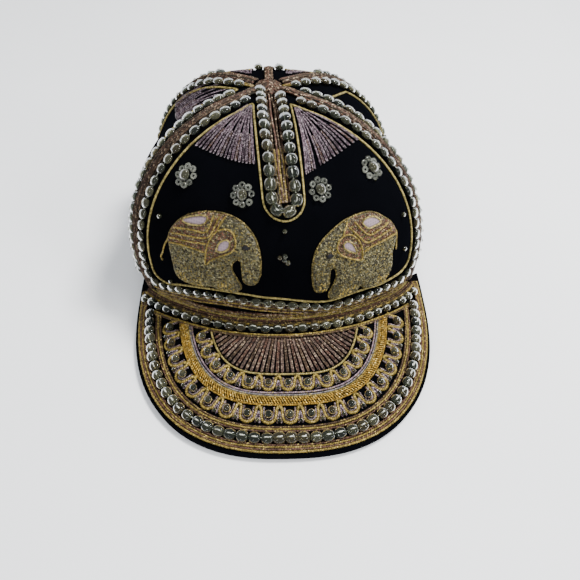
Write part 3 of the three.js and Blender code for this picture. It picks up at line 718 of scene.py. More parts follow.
def smooth_line(points: Sequence[Sequence[float]], step: float, closed: bool = False) -> Array:
    """Draws a smooth line through a few points.

    Args:
        points: The points, in any number of dimensions.
        step: Wanted distance between the points of the result.
        closed: Whether the line returns to its start.

    Returns:
        The points of the line. A closed one ends on its first point.
    """
    given = np.asarray(points, float)
    if closed:
        padded = np.vstack([given[-1:], given, given[:2]])
    else:
        padded = np.vstack([2 * given[:1] - given[1:2], given, 2 * given[-1:] - given[-2:-1]])
    pieces = []
    for p0, p1, p2, p3 in zip(padded, padded[1:], padded[2:], padded[3:]):
        count = max(2, int(np.linalg.norm(p2 - p1) / step) + 1)
        s = np.linspace(0, 1, count, endpoint=False)[:, None]
        pieces.append(cubic(s, p1, p2, (p2 - p0) / 2, (p3 - p1) / 2))
    last = given[:1] if closed else given[-1:]
    return np.vstack([*pieces, last])


def inside(points: Array, outline: Array) -> Array:
    """Tells which points of the plane lie inside a closed outline.

    Args:
        points: The points.
        outline: The outline.

    Returns:
        True for each point inside.
    """
    x, y = points[:, :1], points[:, 1:2]
    x0, y0 = outline[:, 0], outline[:, 1]
    x1, y1 = np.roll(x0, -1), np.roll(y0, -1)
    spans = (y0 > y) != (y1 > y)
    crossing = x < x0 + (y - y0) * (x1 - x0) / np.where(y1 == y0, 1e-9, y1 - y0)
    return (spans & crossing).sum(1) % 2 == 1


def outline_distance(points: Array, outline: Array) -> Array:
    """Returns the distance of points of the plane from a closed outline.

    Args:
        points: The points.
        outline: The outline.

    Returns:
        The distances.
    """
    steps = np.roll(outline, -1, axis=0) - outline
    away = points[:, None] - outline[None]
    reach = (away * steps).sum(-1) / np.maximum((steps**2).sum(-1), 1e-9)
    gap = away - steps * np.clip(reach, 0, 1)[..., None]
    return np.linalg.norm(gap, axis=-1).min(1)


@dataclass(frozen=True)
class CordStyle:
    """How a twisted cord is laid: its radius and pitch in millimetres and its plies' relief."""

    radius: float
    lay: float = 3.4
    relief: float = 0.13
    sides: int = 6
    step: float = 0.6


class Weave:
    """Gathers cords and copies of small shapes into one mesh."""

    def __init__(self, seed: int = 1) -> None:
        """Starts empty, with its own source of small irregularities.

        Args:
            seed: Start of the irregularities.
        """
        self.random = np.random.default_rng(seed)
        self.points: list[Array] = []
        self.loops: list[Array] = []
        self.sizes: list[Array] = []
        self.lays: list[Array] = []
        self.dyes: list[Array] = []
        self.count = 0

    def add(self, points: Array, loops: Array, sizes: Array, lays: Array, dyes: Array) -> None:
        """Adds faces.

        Args:
            points: Points in millimetres.
            loops: Point numbers of all faces in turn.
            sizes: Number of corners of each face.
            lays: Position along and round the cord at each corner.
            dyes: Colour of each point.
        """
        self.points.append(points)
        self.loops.append(loops + self.count)
        self.sizes.append(sizes)
        self.lays.append(lays)
        self.dyes.append(dyes)
        self.count += len(points)

    def shade(self, dye: Colour, spread: float = 0.1) -> Array:
        """Returns a dye with a small random change of brightness."""
        return np.array(dye) * (1 + spread * self.random.uniform(-1, 1))

    def cord(self, rail: Rail, style: CordStyle, dye: Colour, spread: float = 0.1) -> None:
        """Lays a twisted cord along a rail.

        Args:
            rail: The cord's middle line.
            style: How the cord is laid.
            dye: The cord's colour.
            spread: Random change of the colour's brightness.
        """
        rail = rail.even(style.step)
        points, normals = rail.points, rail.normals
        if rail.closed:
            points, normals = points[:-1], normals[:-1]
            ahead = unit(np.roll(points, -1, axis=0) - np.roll(points, 1, axis=0))
        else:
            ahead = rail.ahead()
        side = unit(np.cross(ahead, normals))
        out = unit(np.cross(side, ahead))
        travelled = run_lengths(rail.points)
        turns = travelled[-1] / style.lay
        turns = max(1, round(turns)) if rail.closed else turns
        spin = self.random.uniform(0, 6.28) + 2 * np.pi * turns * travelled[: len(points)] / travelled[-1]
        corner = np.arange(style.sides)
        angle = spin[:, None] + 2 * np.pi * corner / style.sides
        radius = style.radius * (1 + style.relief * (-1.0) ** corner)[None] * np.ones((len(points), 1))
        if not rail.closed:
            radius[0] *= 0.55
            radius[-1] *= 0.55
        ring = points[:, None] + side[:, None] * (np.cos(angle) * radius)[..., None]
        ring = ring + out[:, None] * (np.sin(angle) * radius)[..., None]
        rows = len(points) if rail.closed else len(points) - 1
        i, k = np.meshgrid(np.arange(rows), corner, indexing="ij")
        i, k = i.ravel(), k.ravel()
        after, beside = (i + 1) % len(points), (k + 1) % style.sides
        number = [i * style.sides + k, i * style.sides + beside]
        number += [after * style.sides + beside, after * style.sides + k]
        loops = np.stack(number, 1)
        along = np.stack([travelled[i], travelled[i], travelled[i + 1], travelled[i + 1]], 1) * MM
        around = np.stack([k, k + 1, k + 1, k], 1) / style.sides
        lays = np.stack([along, around], -1).reshape(-1, 2)
        sizes = np.full(len(loops), 4)
        loops = loops.ravel()
        if not rail.closed:
            last = (len(points) - 1) * style.sides
            caps = np.concatenate([corner[::-1], last + corner])
            loops = np.concatenate([loops, caps])
            sizes = np.concatenate([sizes, [style.sides] * 2])
            lays = np.vstack([lays, np.zeros((2 * style.sides, 2))])
        dyes = np.tile(self.shade(dye, spread), (ring.shape[0] * ring.shape[1], 1))
        self.add(ring.reshape(-1, 3), loops, sizes, lays, dyes)

    def copies(self, shape: "Shape", axes: Array, places: Array, dyes: Array) -> None:
        """Sets copies of a small shape.

        Args:
            shape: The shape.
            axes: For each copy, the three columns that its own X, Y and Z become.
            places: Where each copy's middle goes.
            dyes: Colour of each copy.
        """
        points = np.einsum("nij,vj->nvi", axes, shape.points) + places[:, None]
        offsets = (np.arange(len(places)) * len(shape.points))[:, None]
        loops = (shape.loops[None] + offsets).ravel()
        sizes = np.tile(shape.sizes, len(places))
        dye_rows = np.repeat(dyes, len(shape.points), axis=0)
        self.add(points.reshape(-1, 3), loops, sizes, np.zeros((len(loops), 2)), dye_rows)

    def build(self, name: str, material: Material, slot: Slot, replaces: Sequence[str] = ()) -> Piece:
        """Makes the finished piece.

        Args:
            name: The piece's name.
            material: Its finish.
            slot: Passed on to finish_piece, which does not use it.
            replaces: CAD nodes that it stands for.

        Returns:
            The piece.
        """
        mesh = bpy.data.meshes.new(name)
        points = to_row(np.vstack(self.points))
        loops, sizes = np.concatenate(self.loops), np.concatenate(self.sizes)
        mesh.vertices.add(len(points))
        mesh.vertices.foreach_set("co", points.astype(np.float32).ravel())
        mesh.loops.add(len(loops))
        mesh.polygons.add(len(sizes))
        mesh.polygons.foreach_set("loop_start", np.concatenate([[0], np.cumsum(sizes)[:-1]]).astype(np.int32))
        mesh.polygons.foreach_set("vertices", loops.astype(np.int32))
        mesh.polygons.foreach_set("use_smooth", np.ones(len(sizes), bool))
        mesh.update(calc_edges=True)
        mesh.validate()
        layer = mesh.uv_layers.new(name="lay")
        layer.uv.foreach_set("vector", np.vstack(self.lays).astype(np.float32).ravel())
        dye = mesh.color_attributes.new(name="dye", type="FLOAT_COLOR", domain="POINT")
        rows = np.column_stack([np.vstack(self.dyes), np.ones(len(points))])
        dye.data.foreach_set("color", rows.astype(np.float32).ravel())
        return finish_piece(add_object(name, mesh), material, slot, replaces)


def row_shift() -> Array:
    """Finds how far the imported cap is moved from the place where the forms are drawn.

    Returns:
        The shift in millimetres.
    """
    low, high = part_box("peak")
    middle = (low.x + high.x) / 2 / MM
    return np.array([middle - PEAK.centre_x, low.y / MM - PEAK.tip_y, 0.0])


SHIFT = row_shift()


def to_row(points: Array) -> Array:
    """Returns drawn points in the row frame, in metres."""
    return (points + SHIFT) * MM


def finish_piece(piece: Piece, material: Material, slot: Slot, replaces: Sequence[str] = ()) -> Piece:
    """Dresses a piece and hangs it on the cap's body.

    Args:
        piece: The piece.
        material: Its finish.
        slot: Not used.
        replaces: CAD nodes that it stands for.

    Returns:
        The piece.
    """
    if not piece.data.materials:
        piece.data.materials.append(material)
    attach(piece, ROOT_BODY)
    if replaces:
        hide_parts(*replaces)
    LOG.info("%s: %d faces", piece.name, len(piece.data.polygons))
    return piece


def deselect() -> None:
    """Deselects every object."""
    bpy.ops.object.select_all(action="DESELECT")


def set_mode(mode: str) -> None:
    """Turns to object mode or to edit mode."""
    bpy.ops.object.mode_set(mode=mode)


def select_only(piece: Piece) -> None:
    """Selects one piece and makes it the active one."""
    deselect()
    piece.select_set(True)
    bpy.context.view_layer.objects.active = piece


def add_object(name: str, data: bpy.types.ID) -> Piece:
    """Adds an object to the scene."""
    made = bpy.data.objects.new(name, data)
    bpy.context.scene.collection.objects.link(made)
    return made


def select_faces(piece: Piece, test: Callable[[Vector, Vector], bool]) -> None:
    """Selects the faces in edit mode whose middle and normal pass a test.

    Args:
        piece: The piece in hand.
        test: Tells from a face's middle and normal whether it is selected.
    """
    set_mode("OBJECT")
    for item in [*piece.data.vertices, *piece.data.edges]:
        item.select = False
    for face in piece.data.polygons:
        face.select = test(face.center, face.normal)
    set_mode("EDIT")


@dataclass
class Shape:
    """A small shape that is modelled once and copied: points, face corners and face sizes."""

    points: Array
    loops: Array
    sizes: Array

    @staticmethod
    def taken_from(piece: Piece) -> "Shape":
        """Reads a modelled object and removes it.

        Args:
            piece: The object.

        Returns:
            The shape.
        """
        mesh = piece.data
        points = np.array([v.co for v in mesh.vertices], float)
        loops = np.array([loop.vertex_index for loop in mesh.loops])
        sizes = np.array([len(face.vertices) for face in mesh.polygons])
        bpy.data.objects.remove(piece)
        bpy.data.meshes.remove(mesh)
        return Shape(points, loops, sizes)

    @staticmethod
    def bead(segments: int = 10, rings: int = 7, hole: float = 0.2) -> "Shape":
        """Models a round bead of radius 1 with a dimpled hole at each end of its Z axis.

        Args:
            segments: Faces round the axis.
            rings: Rows of faces.
            hole: Depth of the ends that are dimpled.

        Returns:
            The shape.
        """
        deselect()
        bpy.ops.mesh.primitive_uv_sphere_add(segments=segments, ring_count=rings, radius=1)
        piece = bpy.context.object
        top = 1 - hole
        set_mode("EDIT")
        bpy.ops.mesh.select_mode(type="FACE")
        select_faces(piece, lambda middle, normal: abs(middle.z) > top)
        bpy.ops.mesh.dissolve_faces()
        bpy.ops.mesh.inset(thickness=0.12)
        bpy.ops.transform.resize(value=(0.8, 0.8, 0.8), center_override=(0, 0, 0))
        set_mode("OBJECT")
        return Shape.taken_from(piece)

    @staticmethod
    def ring_bead() -> "Shape":
        """Models a ring-shaped seed bead of radius 1 that lies flat.

        Returns:
            The shape.
        """
        deselect()
        bpy.ops.mesh.primitive_torus_add(
            major_segments=10, minor_segments=6, major_radius=0.64, minor_radius=0.36
        )
        piece = bpy.context.object
        set_mode("EDIT")
        bpy.ops.mesh.select_all(action="SELECT")
        bpy.ops.transform.resize(value=(1, 1, 1.25), center_override=(0, 0, 0))
        set_mode("OBJECT")
        return Shape.taken_from(piece)

    @staticmethod
    def chip() -> "Shape":
        """Models a cut bit of purl thread: a short tube with rounded ends along X.

        Returns:
            The shape.
        """
        deselect()
        bpy.ops.mesh.primitive_cylinder_add(vertices=5, radius=1, depth=1.3, rotation=(0, math.pi / 2, 0))
        piece = bpy.context.object
        bpy.ops.object.transform_apply(location=True, rotation=True, scale=True)
        set_mode("EDIT")
        bpy.ops.mesh.select_mode(type="FACE")
        for way in (1, -1):
            select_faces(piece, lambda middle, normal: normal.x * way > 0.9)
            bpy.ops.mesh.extrude_region_move(TRANSFORM_OT_translate={"value": (0.35 * way, 0, 0)})
            bpy.ops.transform.resize(value=(1, 0.6, 0.6), center_override=(0, 0, 0))
        set_mode("OBJECT")
        return Shape.taken_from(piece)


class Net:
    """A node tree that is being drawn."""

    def __init__(self, tree: bpy.types.NodeTree) -> None:
        """Takes the tree to draw in."""
        self.tree = tree

    def node(self, kind: str, inputs: dict | None = None, **settings: object) -> Node:
        """Adds a node.

        Args:
            kind: The node's type, without the word ShaderNode.
            inputs: Value or output socket for each of its inputs, by name or number.
            settings: Properties of the node.

        Returns:
            The node.
        """
        made = self.tree.nodes.new("ShaderNode" + kind)
        for key, value in settings.items():
            setattr(made, key, value)
        self.fill(made, inputs or {})
        return made

    def fill(self, made: Node, inputs: dict) -> None:
        """Gives a node's inputs their values or links.

        Args:
            made: The node.
            inputs: Value or output socket for each input, by name or number.
        """
        for key, value in inputs.items():
            if isinstance(value, Socket):
                self.tree.links.new(value, made.inputs[key])
            else:
                made.inputs[key].default_value = value

    def dye(self) -> Socket:
        """Returns the colour that each cord or bead was dyed."""
        return self.node("Attribute", attribute_name="dye", attribute_type="GEOMETRY").outputs["Color"]

    def bump(self, height: Socket, strength: float, depth: float) -> Socket:
        """Returns normals that follow a height, with a depth in metres."""
        return self.node("Bump", {"Strength": strength, "Distance": depth, "Height": height}).outputs[0]

    def group(self, tree: bpy.types.NodeTree, inputs: dict[str, float]) -> Node:
        """Places a shared group with its own values."""
        return self.node("Group", inputs, node_tree=tree)

    def times(self, first: object, second: object) -> Socket:
        """Returns the product of two numbers."""
        return self.maths("MULTIPLY", first, second)

    def line(self, value: object, gain: object, offset: object) -> Socket:
        """Returns a value times a gain, plus an offset."""
        return self.maths("MULTIPLY_ADD", value, gain, offset)

    def maths(self, operation: str, first: object, second: object = 0.0, third: object = 0.0) -> Socket:
        """Returns the result of an operation on numbers."""
        return self.node("Math", {0: first, 1: second, 2: third}, operation=operation).outputs[0]

    def mix(self, share: object, first: object, second: object) -> Socket:
        """Returns a mix of two colours.

        Args:
            share: Share of the second colour.
            first: First colour.
            second: Second colour.

        Returns:
            The mix.
        """
        made = self.node("Mix", data_type="RGBA")
        given = {"Factor_Float": share, "A_Color": first, "B_Color": second}
        for number, socket in enumerate(made.inputs):
            value = given.get(socket.identifier)
            if value is not None:
                self.fill(made, {number: (*value, 1) if isinstance(value, tuple) else value})
        return next(s for s in made.outputs if s.identifier == "Result_Color")


def new_group(name: str, inputs: dict[str, float], outputs: Sequence[str]) -> tuple[Net, Node, Node]:
    """Starts a shader node group of numbers.

    Args:
        name: The group's name.
        inputs: Name and default of each input.
        outputs: Names of the outputs.

    Returns:
        The group's net, its input node and its output node.
    """
    tree = bpy.data.node_groups.new(name, "ShaderNodeTree")
    for key, value in inputs.items():
        socket = tree.interface.new_socket(name=key, in_out="INPUT", socket_type="NodeSocketFloat")
        socket.default_value = value
    for key in outputs:
        tree.interface.new_socket(name=key, in_out="OUTPUT", socket_type="NodeSocketFloat")
    net = Net(tree)
    return net, tree.nodes.new("NodeGroupInput"), tree.nodes.new("NodeGroupOutput")


class Effects:
    """The shader groups that several finishes share."""

    def __init__(self) -> None:
        """Builds the groups."""
        self.plies = self._plies()
        self.fibres = self._fibres()
        self.glints = self._glints()

    def _plies(self) -> bpy.types.NodeTree:
        """Twisted plies of a cord: height of the plies, and a mask for painted shade where the plies meet.

        Returns:
            The group.
        """
        inputs = {"Plies": 3, "Wraps per mm": 2.2}
        net, given, result = new_group("twisted_plies", inputs, ("Height", "Groove"))
        lay = net.node("UVMap", uv_map="lay")
        parts = net.node("SeparateXYZ", {0: lay.outputs[0]})
        turn = net.times(parts.outputs[1], given.outputs["Plies"])
        crown = net.maths("COSINE", net.times(turn, 2 * math.pi))
        along = net.times(parts.outputs[0], 1 / MM)
        wraps = net.times(along, given.outputs["Wraps per mm"])
        slanted = net.maths("ADD", wraps, net.times(parts.outputs[1], 3.0))
        wrap = net.maths("SINE", net.times(slanted, 2 * math.pi))
        height = net.line(wrap, 0.22, crown)
        # Groove mask for painted shade: high where the plies sink between their crowns.
        groove = net.line(height, -0.5, 0.5)
        net.fill(result, {"Height": height, "Groove": groove})
        return net.tree

    def _fibres(self) -> bpy.types.NodeTree:
        """Fine fibres: uneven height, a slower change of shade, and grains with sharp edges.

        Returns:
            The group.
        """
        inputs = {"Per metre": 2600, "Patch per metre": 90, "Grains per metre": 850}
        net, given, result = new_group("fibres", inputs, ("Height", "Shade", "Grain"))
        place = net.node("TexCoord").outputs["Object"]
        noises = []
        for scale, detail, rough in zip(given.outputs, (3, 2, 1), (0.7, 0.5, 0.5)):
            inputs = {"Vector": place, "Scale": scale, "Detail": detail, "Roughness": rough}
            noises.append(net.node("TexNoise", inputs).outputs[0])
        fine, slow, grain = noises
        sharp = net.line(grain, 3.2, -1.1)
        sharp = net.maths("MINIMUM", net.maths("MAXIMUM", sharp, 0), 1)
        net.fill(result, {"Height": fine, "Shade": slow, "Grain": sharp})
        return net.tree

    def _glints(self) -> bpy.types.NodeTree:
        """Small bright flecks: painted highlights of metal wraps, which stand also for flecks of metal
        thread.

        Returns:
            The group.
        """
        net, given, result = new_group("metal_glints", {"Per metre": 1100, "Share": 0.2}, ("Mask",))
        place = net.node("TexCoord").outputs["Object"]
        cells = net.node("TexVoronoi", {"Vector": place, "Scale": given.outputs[0], "Randomness": 1.0})
        tone = net.node("SeparateColor", {0: cells.outputs["Color"]})
        edge = net.maths("SUBTRACT", 1.0, given.outputs[1])
        net.fill(result, {"Mask": net.maths("GREATER_THAN", tone.outputs[0], edge)})
        return net.tree


EFFECTS = Effects()


def start_material(name: str) -> tuple[Material, Net, Node]:
    """Starts a material and returns it with its net and its surface shader.

    Args:
        name: The material's name.

    Returns:
        The material, its net and its shader.
    """
    material = bpy.data.materials.new(name)
    material.use_nodes = True
    net = Net(material.node_tree)
    shader = next(n for n in material.node_tree.nodes if n.type == "BSDF_PRINCIPLED")
    return material, net, shader


@dataclass(frozen=True)
class VelvetFinish:
    """Black cotton velvet with a bluish pile."""

    name: str = "velvet"
    colour: Colour = (0.0010, 0.0011, 0.0015)
    worn: Colour = (0.0020, 0.0022, 0.0031)
    sheen: float = 0.007
    sheen_tint: Colour = (0.35, 0.38, 0.55)
    sheen_spread: float = 0.45
    roughness: float = 0.95
    pile_per_metre: float = 1500
    patches_per_metre: float = 42
    wear: float = 0.9
    pile_strength: float = 0.55
    pile_depth: float = 0.0006

    def material(self) -> Material:
        """Returns the finish as a material."""
        made, net, shader = start_material(self.name)
        inputs = {"Per metre": self.pile_per_metre, "Patch per metre": self.patches_per_metre}
        pile = net.group(EFFECTS.fibres, inputs)
        shade = net.maths("SMOOTH_MIN", pile.outputs["Shade"], 0.9, 0.1)
        net.fill(shader, {
            "Base Color": net.mix(net.times(shade, self.wear), self.colour, self.worn),
            "Normal": net.bump(pile.outputs["Height"], self.pile_strength, self.pile_depth),
            "Roughness": self.roughness,
            "Specular IOR Level": 0.0,
            "Sheen Weight": self.sheen,
            "Sheen Roughness": self.sheen_spread,
            "Sheen Tint": (*self.sheen_tint, 1),
        })
        return made


@dataclass(frozen=True)
class CordFinish:
    """Twisted thread or metal-wound cord, in the colour that each cord was dyed, with painted shade between
    its plies and painted glints.
    """

    name: str
    metal: float = 0.3
    roughness: float = 0.48
    # groove: strength of the painted shade between the plies.
    groove: float = 0.62
    # glint: colour of painted highlights on the metal wraps, standing also for flecks of metal thread.
    glint: Colour = (0.50, 0.36, 0.13)
    glint_share: float = 0.12
    glints_per_metre: float = 1700
    wraps: float = 2.2
    grain: float = 0.75
    dull: Colour = (0.02, 0.015, 0.012)
    # deep: colour of the painted shade between the plies.
    deep: Colour = (0.008, 0.006, 0.006)
    relief: float = 0.6
    relief_depth: float = 0.00022

    def material(self) -> Material:
        """Returns the finish as a material."""
        made, net, shader = start_material(self.name)
        plies = net.group(EFFECTS.plies, {"Plies": 3, "Wraps per mm": self.wraps})
        fibres = net.group(EFFECTS.fibres, {"Per metre": 1900, "Patch per metre": 160})
        flecks = {"Per metre": self.glints_per_metre, "Share": self.glint_share}
        glints = net.group(EFFECTS.glints, flecks)
        # Painted highlights: bright specks of glint colour, standing also for flecks of metal thread.
        lit = net.mix(net.times(glints.outputs["Mask"], 0.75), net.dye(), self.glint)
        patchy = net.times(net.line(fibres.outputs["Shade"], 1.1, -0.3), 0.5)
        uneven = net.mix(patchy, lit, net.mix(0.6, lit, self.dull))
        # Painted shade: the colour is darkened toward deep where the plies sink.
        groove_shading = net.times(net.maths("POWER", plies.outputs["Groove"], 1.6), self.groove)
        groove_shaded = net.mix(groove_shading, uneven, net.mix(0.85, uneven, self.deep))
        gain = net.line(fibres.outputs["Grain"], 1.5 * self.grain, 1 - 0.8 * self.grain)
        height = net.line(fibres.outputs["Height"], 0.5, plies.outputs["Height"])
        net.fill(shader, {
            "Base Color": net.node("VectorMath", {0: groove_shaded, "Scale": gain}, operation="SCALE").outputs[0],
            "Normal": net.bump(height, self.relief, self.relief_depth),
            "Roughness": net.line(fibres.outputs["Height"], 0.25, self.roughness - 0.12),
            "Metallic": self.metal,
            "Specular IOR Level": 0.25,
        })
        return made


@dataclass(frozen=True)
class GlassFinish:
    """Pressed glass of the beads, slightly clouded, tinted by each bead's own colour."""

    name: str = "glass"
    clear: float = 0.86
    roughness: float = 0.04
    bending: float = 1.25

    def material(self) -> Material:
        """Returns the finish as a material."""
        made, net, shader = start_material(self.name)
        marks = net.group(EFFECTS.fibres, {"Per metre": 300, "Patch per metre": 120})
        wear = net.line(marks.outputs["Shade"], 0.06, self.roughness - 0.03)
        net.fill(shader, {
            "Base Color": net.dye(),
            "Roughness": net.maths("MAXIMUM", wear, 0.01),
            "Transmission Weight": self.clear,
            "IOR": self.bending,
        })
        return made


@dataclass(frozen=True)
class ClothFinish:
    """Plain woven cloth of the lining, the padding and the satin patches."""

    name: str
    colour: Colour
    sheen: float = 0.1
    roughness: float = 0.8
    threads_per_metre: float = 1400
    relief: float = 0.4
    relief_depth: float = 0.0002

    def material(self) -> Material:
        """Returns the finish as a material."""
        made, net, shader = start_material(self.name)
        place = net.node("TexCoord").outputs["Object"]
        inputs = {"Vector": place, "Scale": self.threads_per_metre / 6.28, "Distortion": 0.6}
        waves = [net.node("TexWave", inputs, wave_type="BANDS", bands_direction=axis) for axis in "XZ"]
        weave = net.maths("MAXIMUM", *(wave.outputs[1] for wave in waves))
        fibres = net.group(EFFECTS.fibres, {"Per metre": 2200, "Patch per metre": 60})
        dark = tuple(0.45 * c for c in self.colour)
        woven = net.mix(net.times(weave, 0.7), dark, self.colour)
        colour = net.mix(net.times(fibres.outputs["Shade"], 0.4), woven, dark)
        net.fill(shader, {
            "Base Color": colour,
            "Normal": net.bump(weave, self.relief, self.relief_depth),
            "Roughness": self.roughness,
            "Sheen Weight": self.sheen,
        })
        return made


@dataclass(frozen=True)
class FloorFinish:
    """Plain pale floor."""

    name: str = "floor"
    colour: Colour = (0.955, 0.96, 0.96)

    def material(self) -> Material:
        """Returns the finish as a material."""
        made, net, shader = start_material(self.name)
        soft = net.group(EFFECTS.fibres, {"Per metre": 60, "Patch per metre": 9})
        dim = tuple(0.93 * c for c in self.colour)
        colour = net.mix(soft.outputs["Shade"], self.colour, dim)
        net.fill(shader, {"Base Color": colour, "Roughness": 0.95, "Specular IOR Level": 0.1})
        return made


class Finishes:
    """Every material of the cap, made once."""

    def __init__(self) -> None:
        """Makes the materials."""
        self.velvet = VelvetFinish().material()
        # Each glint colour paints highlights of the metal wraps, which stand also for flecks of metal thread.
        self.brown = CordFinish(
            "brown_cord", metal=0.4, groove=0.85, glint=(0.50, 0.38, 0.26), glint_share=0.16,
            glints_per_metre=1250, grain=0.9,
        ).material()
        self.gold = CordFinish("gold_cord", metal=0.5, roughness=0.42, glint=(0.62, 0.47, 0.16)).material()
        self.lilac = CordFinish(
            "lilac_cord", metal=0.4, groove=0.9, glint=(0.60, 0.50, 0.54), glint_share=0.34,
            glints_per_metre=2100,
        ).material()
        self.purl = CordFinish(
            "purl", metal=0.45, roughness=0.45, groove=0.4, glint=(0.36, 0.32, 0.18), glints_per_metre=1900
        ).material()
        thread = CordFinish("sewing_thread", metal=0.0, roughness=0.7, groove=0.3, glint_share=0)
        self.thread = thread.material()
        self.glass = GlassFinish().material()
        self.lavender = ClothFinish("lavender_satin", Dye.LAVENDER.value, sheen=0.4, roughness=0.5).material()
        self.lining = ClothFinish("lining", (0.016, 0.016, 0.02), threads_per_metre=1100).material()
        self.padding = ClothFinish("figure_cloth", (0.11, 0.10, 0.06)).material()


def grid_piece(name: str, across: int, up: int, placed: Callable[[Array, Array], Array]) -> Piece:
    """Models a sheet from a grid that is laid over a form.

    Args:
        name: The piece's name.
        across: Number of squares across.
        up: Number of squares up.
        placed: Gives the drawn points for shares across and up.

    Returns:
        The sheet, with its place in its mesh.
    """
    deselect()
    bpy.ops.mesh.primitive_grid_add(x_subdivisions=across, y_subdivisions=up, size=1)
    piece = bpy.context.object
    piece.name = name
    piece.data.name = name
    flat = np.zeros(len(piece.data.vertices) * 3)
    piece.data.vertices.foreach_get("co", flat)
    shares = np.clip(flat.reshape(-1, 3)[:, :2] + 0.5, 0, 1)
    points = to_row(placed(shares[:, 0], shares[:, 1]))
    piece.data.vertices.foreach_set("co", points.ravel())
    piece.data.update()
    return piece


def apply_modifier(piece: Piece, kind: str, **settings: object) -> None:
    """Adds a modifier to a piece, sets it and applies it.

    Args:
        piece: The piece.
        kind: The modifier's type.
        settings: Its properties.
    """
    select_only(piece)
    modifier = piece.modifiers.new(kind.lower(), kind)
    for key, value in settings.items():
        setattr(modifier, key, value)
    bpy.ops.object.modifier_apply(modifier=modifier.name)


def smooth_shading(piece: Piece, angle: float = 50) -> None:
    """Shades a piece smooth, apart from edges sharper than an angle in degrees."""
    select_only(piece)
    bpy.ops.object.shade_smooth_by_angle(angle=math.radians(angle))


@dataclass
class CrownCloth:
    """The five velvet panels of the crown with their lining, and the bound rim."""

    finishes: Finishes
    wall: float = 2.4
    seam_gap: float = 0.06
    top_level: float = 0.992
    across: int = 34
    up: int = 44
    front_across: int = 96
    rim_radius: float = 1.15

    def build(self) -> None:
        """Models and dresses the panels."""
        for panel in PANELS:
            self.panel(panel)
        self.rim()

    def panel(self, panel: Panel) -> None:
        """Models one panel as a sheet with a thickness.

        Args:
            panel: The panel.
        """

        def placed(share: Array, level: Array) -> Array:
            """Lays the grid between the panel's seams.

            Args:
                share: Shares from the left seam to the right one.
                level: Shares of the height.

            Returns:
                The points.
            """
            t = level * self.top_level
            start = CROWN.beside(panel.left, t, self.seam_gap)
            end = CROWN.beside(panel.right, t, -self.seam_gap)
            return CROWN.place(start + (end - start) * share, t)[0]

        count = self.front_across if panel.name == "front" else self.across
        piece = grid_piece(f"velvet_{panel.name}", count, self.up, placed)
        piece.data.materials.append(self.finishes.velvet)
        piece.data.materials.append(self.finishes.lining)
        apply_modifier(piece, "SOLIDIFY", thickness=self.wall * MM, offset=-1, material_offset=1)
        smooth_shading(piece)
        finish_piece(piece, self.finishes.velvet, Slot.VELVET, (f"crown_{panel.name}",))

    def rim(self) -> None:
        """Lays the velvet binding along the rim."""
        weave = Weave(3)
        phi = np.linspace(-math.pi, math.pi, 400)
        points, normals = CROWN.place(phi, np.zeros(400), -self.wall / 2)
        points[:, 2] += self.rim_radius * 0.9
        rail = Rail(points, normals, closed=True)
        weave.cord(rail, CordStyle(self.rim_radius * 1.25, relief=0, sides=10, step=3), Dye.SHADOW.value)
        weave.build("rim_binding", self.finishes.velvet, Slot.VELVET)


@dataclass
class PeakBoard:
    """The velvet board of the peak."""

    finishes: Finishes
    thickness: float = 3.6
    edge_round: float = 1.2
    across: int = 150
    deep: int = 26

    def build(self) -> None:
        """Models the board as a sheet that is given its thickness and a rounded edge."""

        def placed(share: Array, depth: Array) -> Array:
            """Lays the grid between the outline and the root.

            Args:
                share: Shares from left to right.
                depth: Shares from the outline to the root.

            Returns:
                The points.
            """
            root, edge = PEAK.root(share), PEAK.edge(share)
            spots = (edge + (root - edge) * depth[:, None])[:, :2]
            return np.column_stack([spots, PEAK.height(spots)])

        piece = grid_piece("velvet_peak", self.across, self.deep, placed)
        apply_modifier(piece, "SOLIDIFY", thickness=self.thickness * MM, offset=-1)
        bevel = {"segments": 3, "limit_method": "ANGLE", "angle_limit": math.radians(55)}
        apply_modifier(piece, "BEVEL", width=self.edge_round * MM, **bevel)
        smooth_shading(piece)
        finish_piece(piece, self.finishes.velvet, Slot.VELVET, ("peak",))


def over_rim(panel: Panel, angles: Sequence[float], heights: Sequence[float], side: float) -> Height:
    """Gives a line's height over the rim.

    Args:
        panel: The panel that the line borders.
        angles: Angles in degrees of the front panel's heights.
        heights: Heights of the line on the front panel.
        side: Its height on every other panel.

    Returns:
        The height, by angle in radians.
    """
    if panel.name == "front":
        return lambda phi: hermite(np.array(angles), np.array(heights), np.degrees(phi))
    return lambda phi: np.full(np.shape(phi), side)


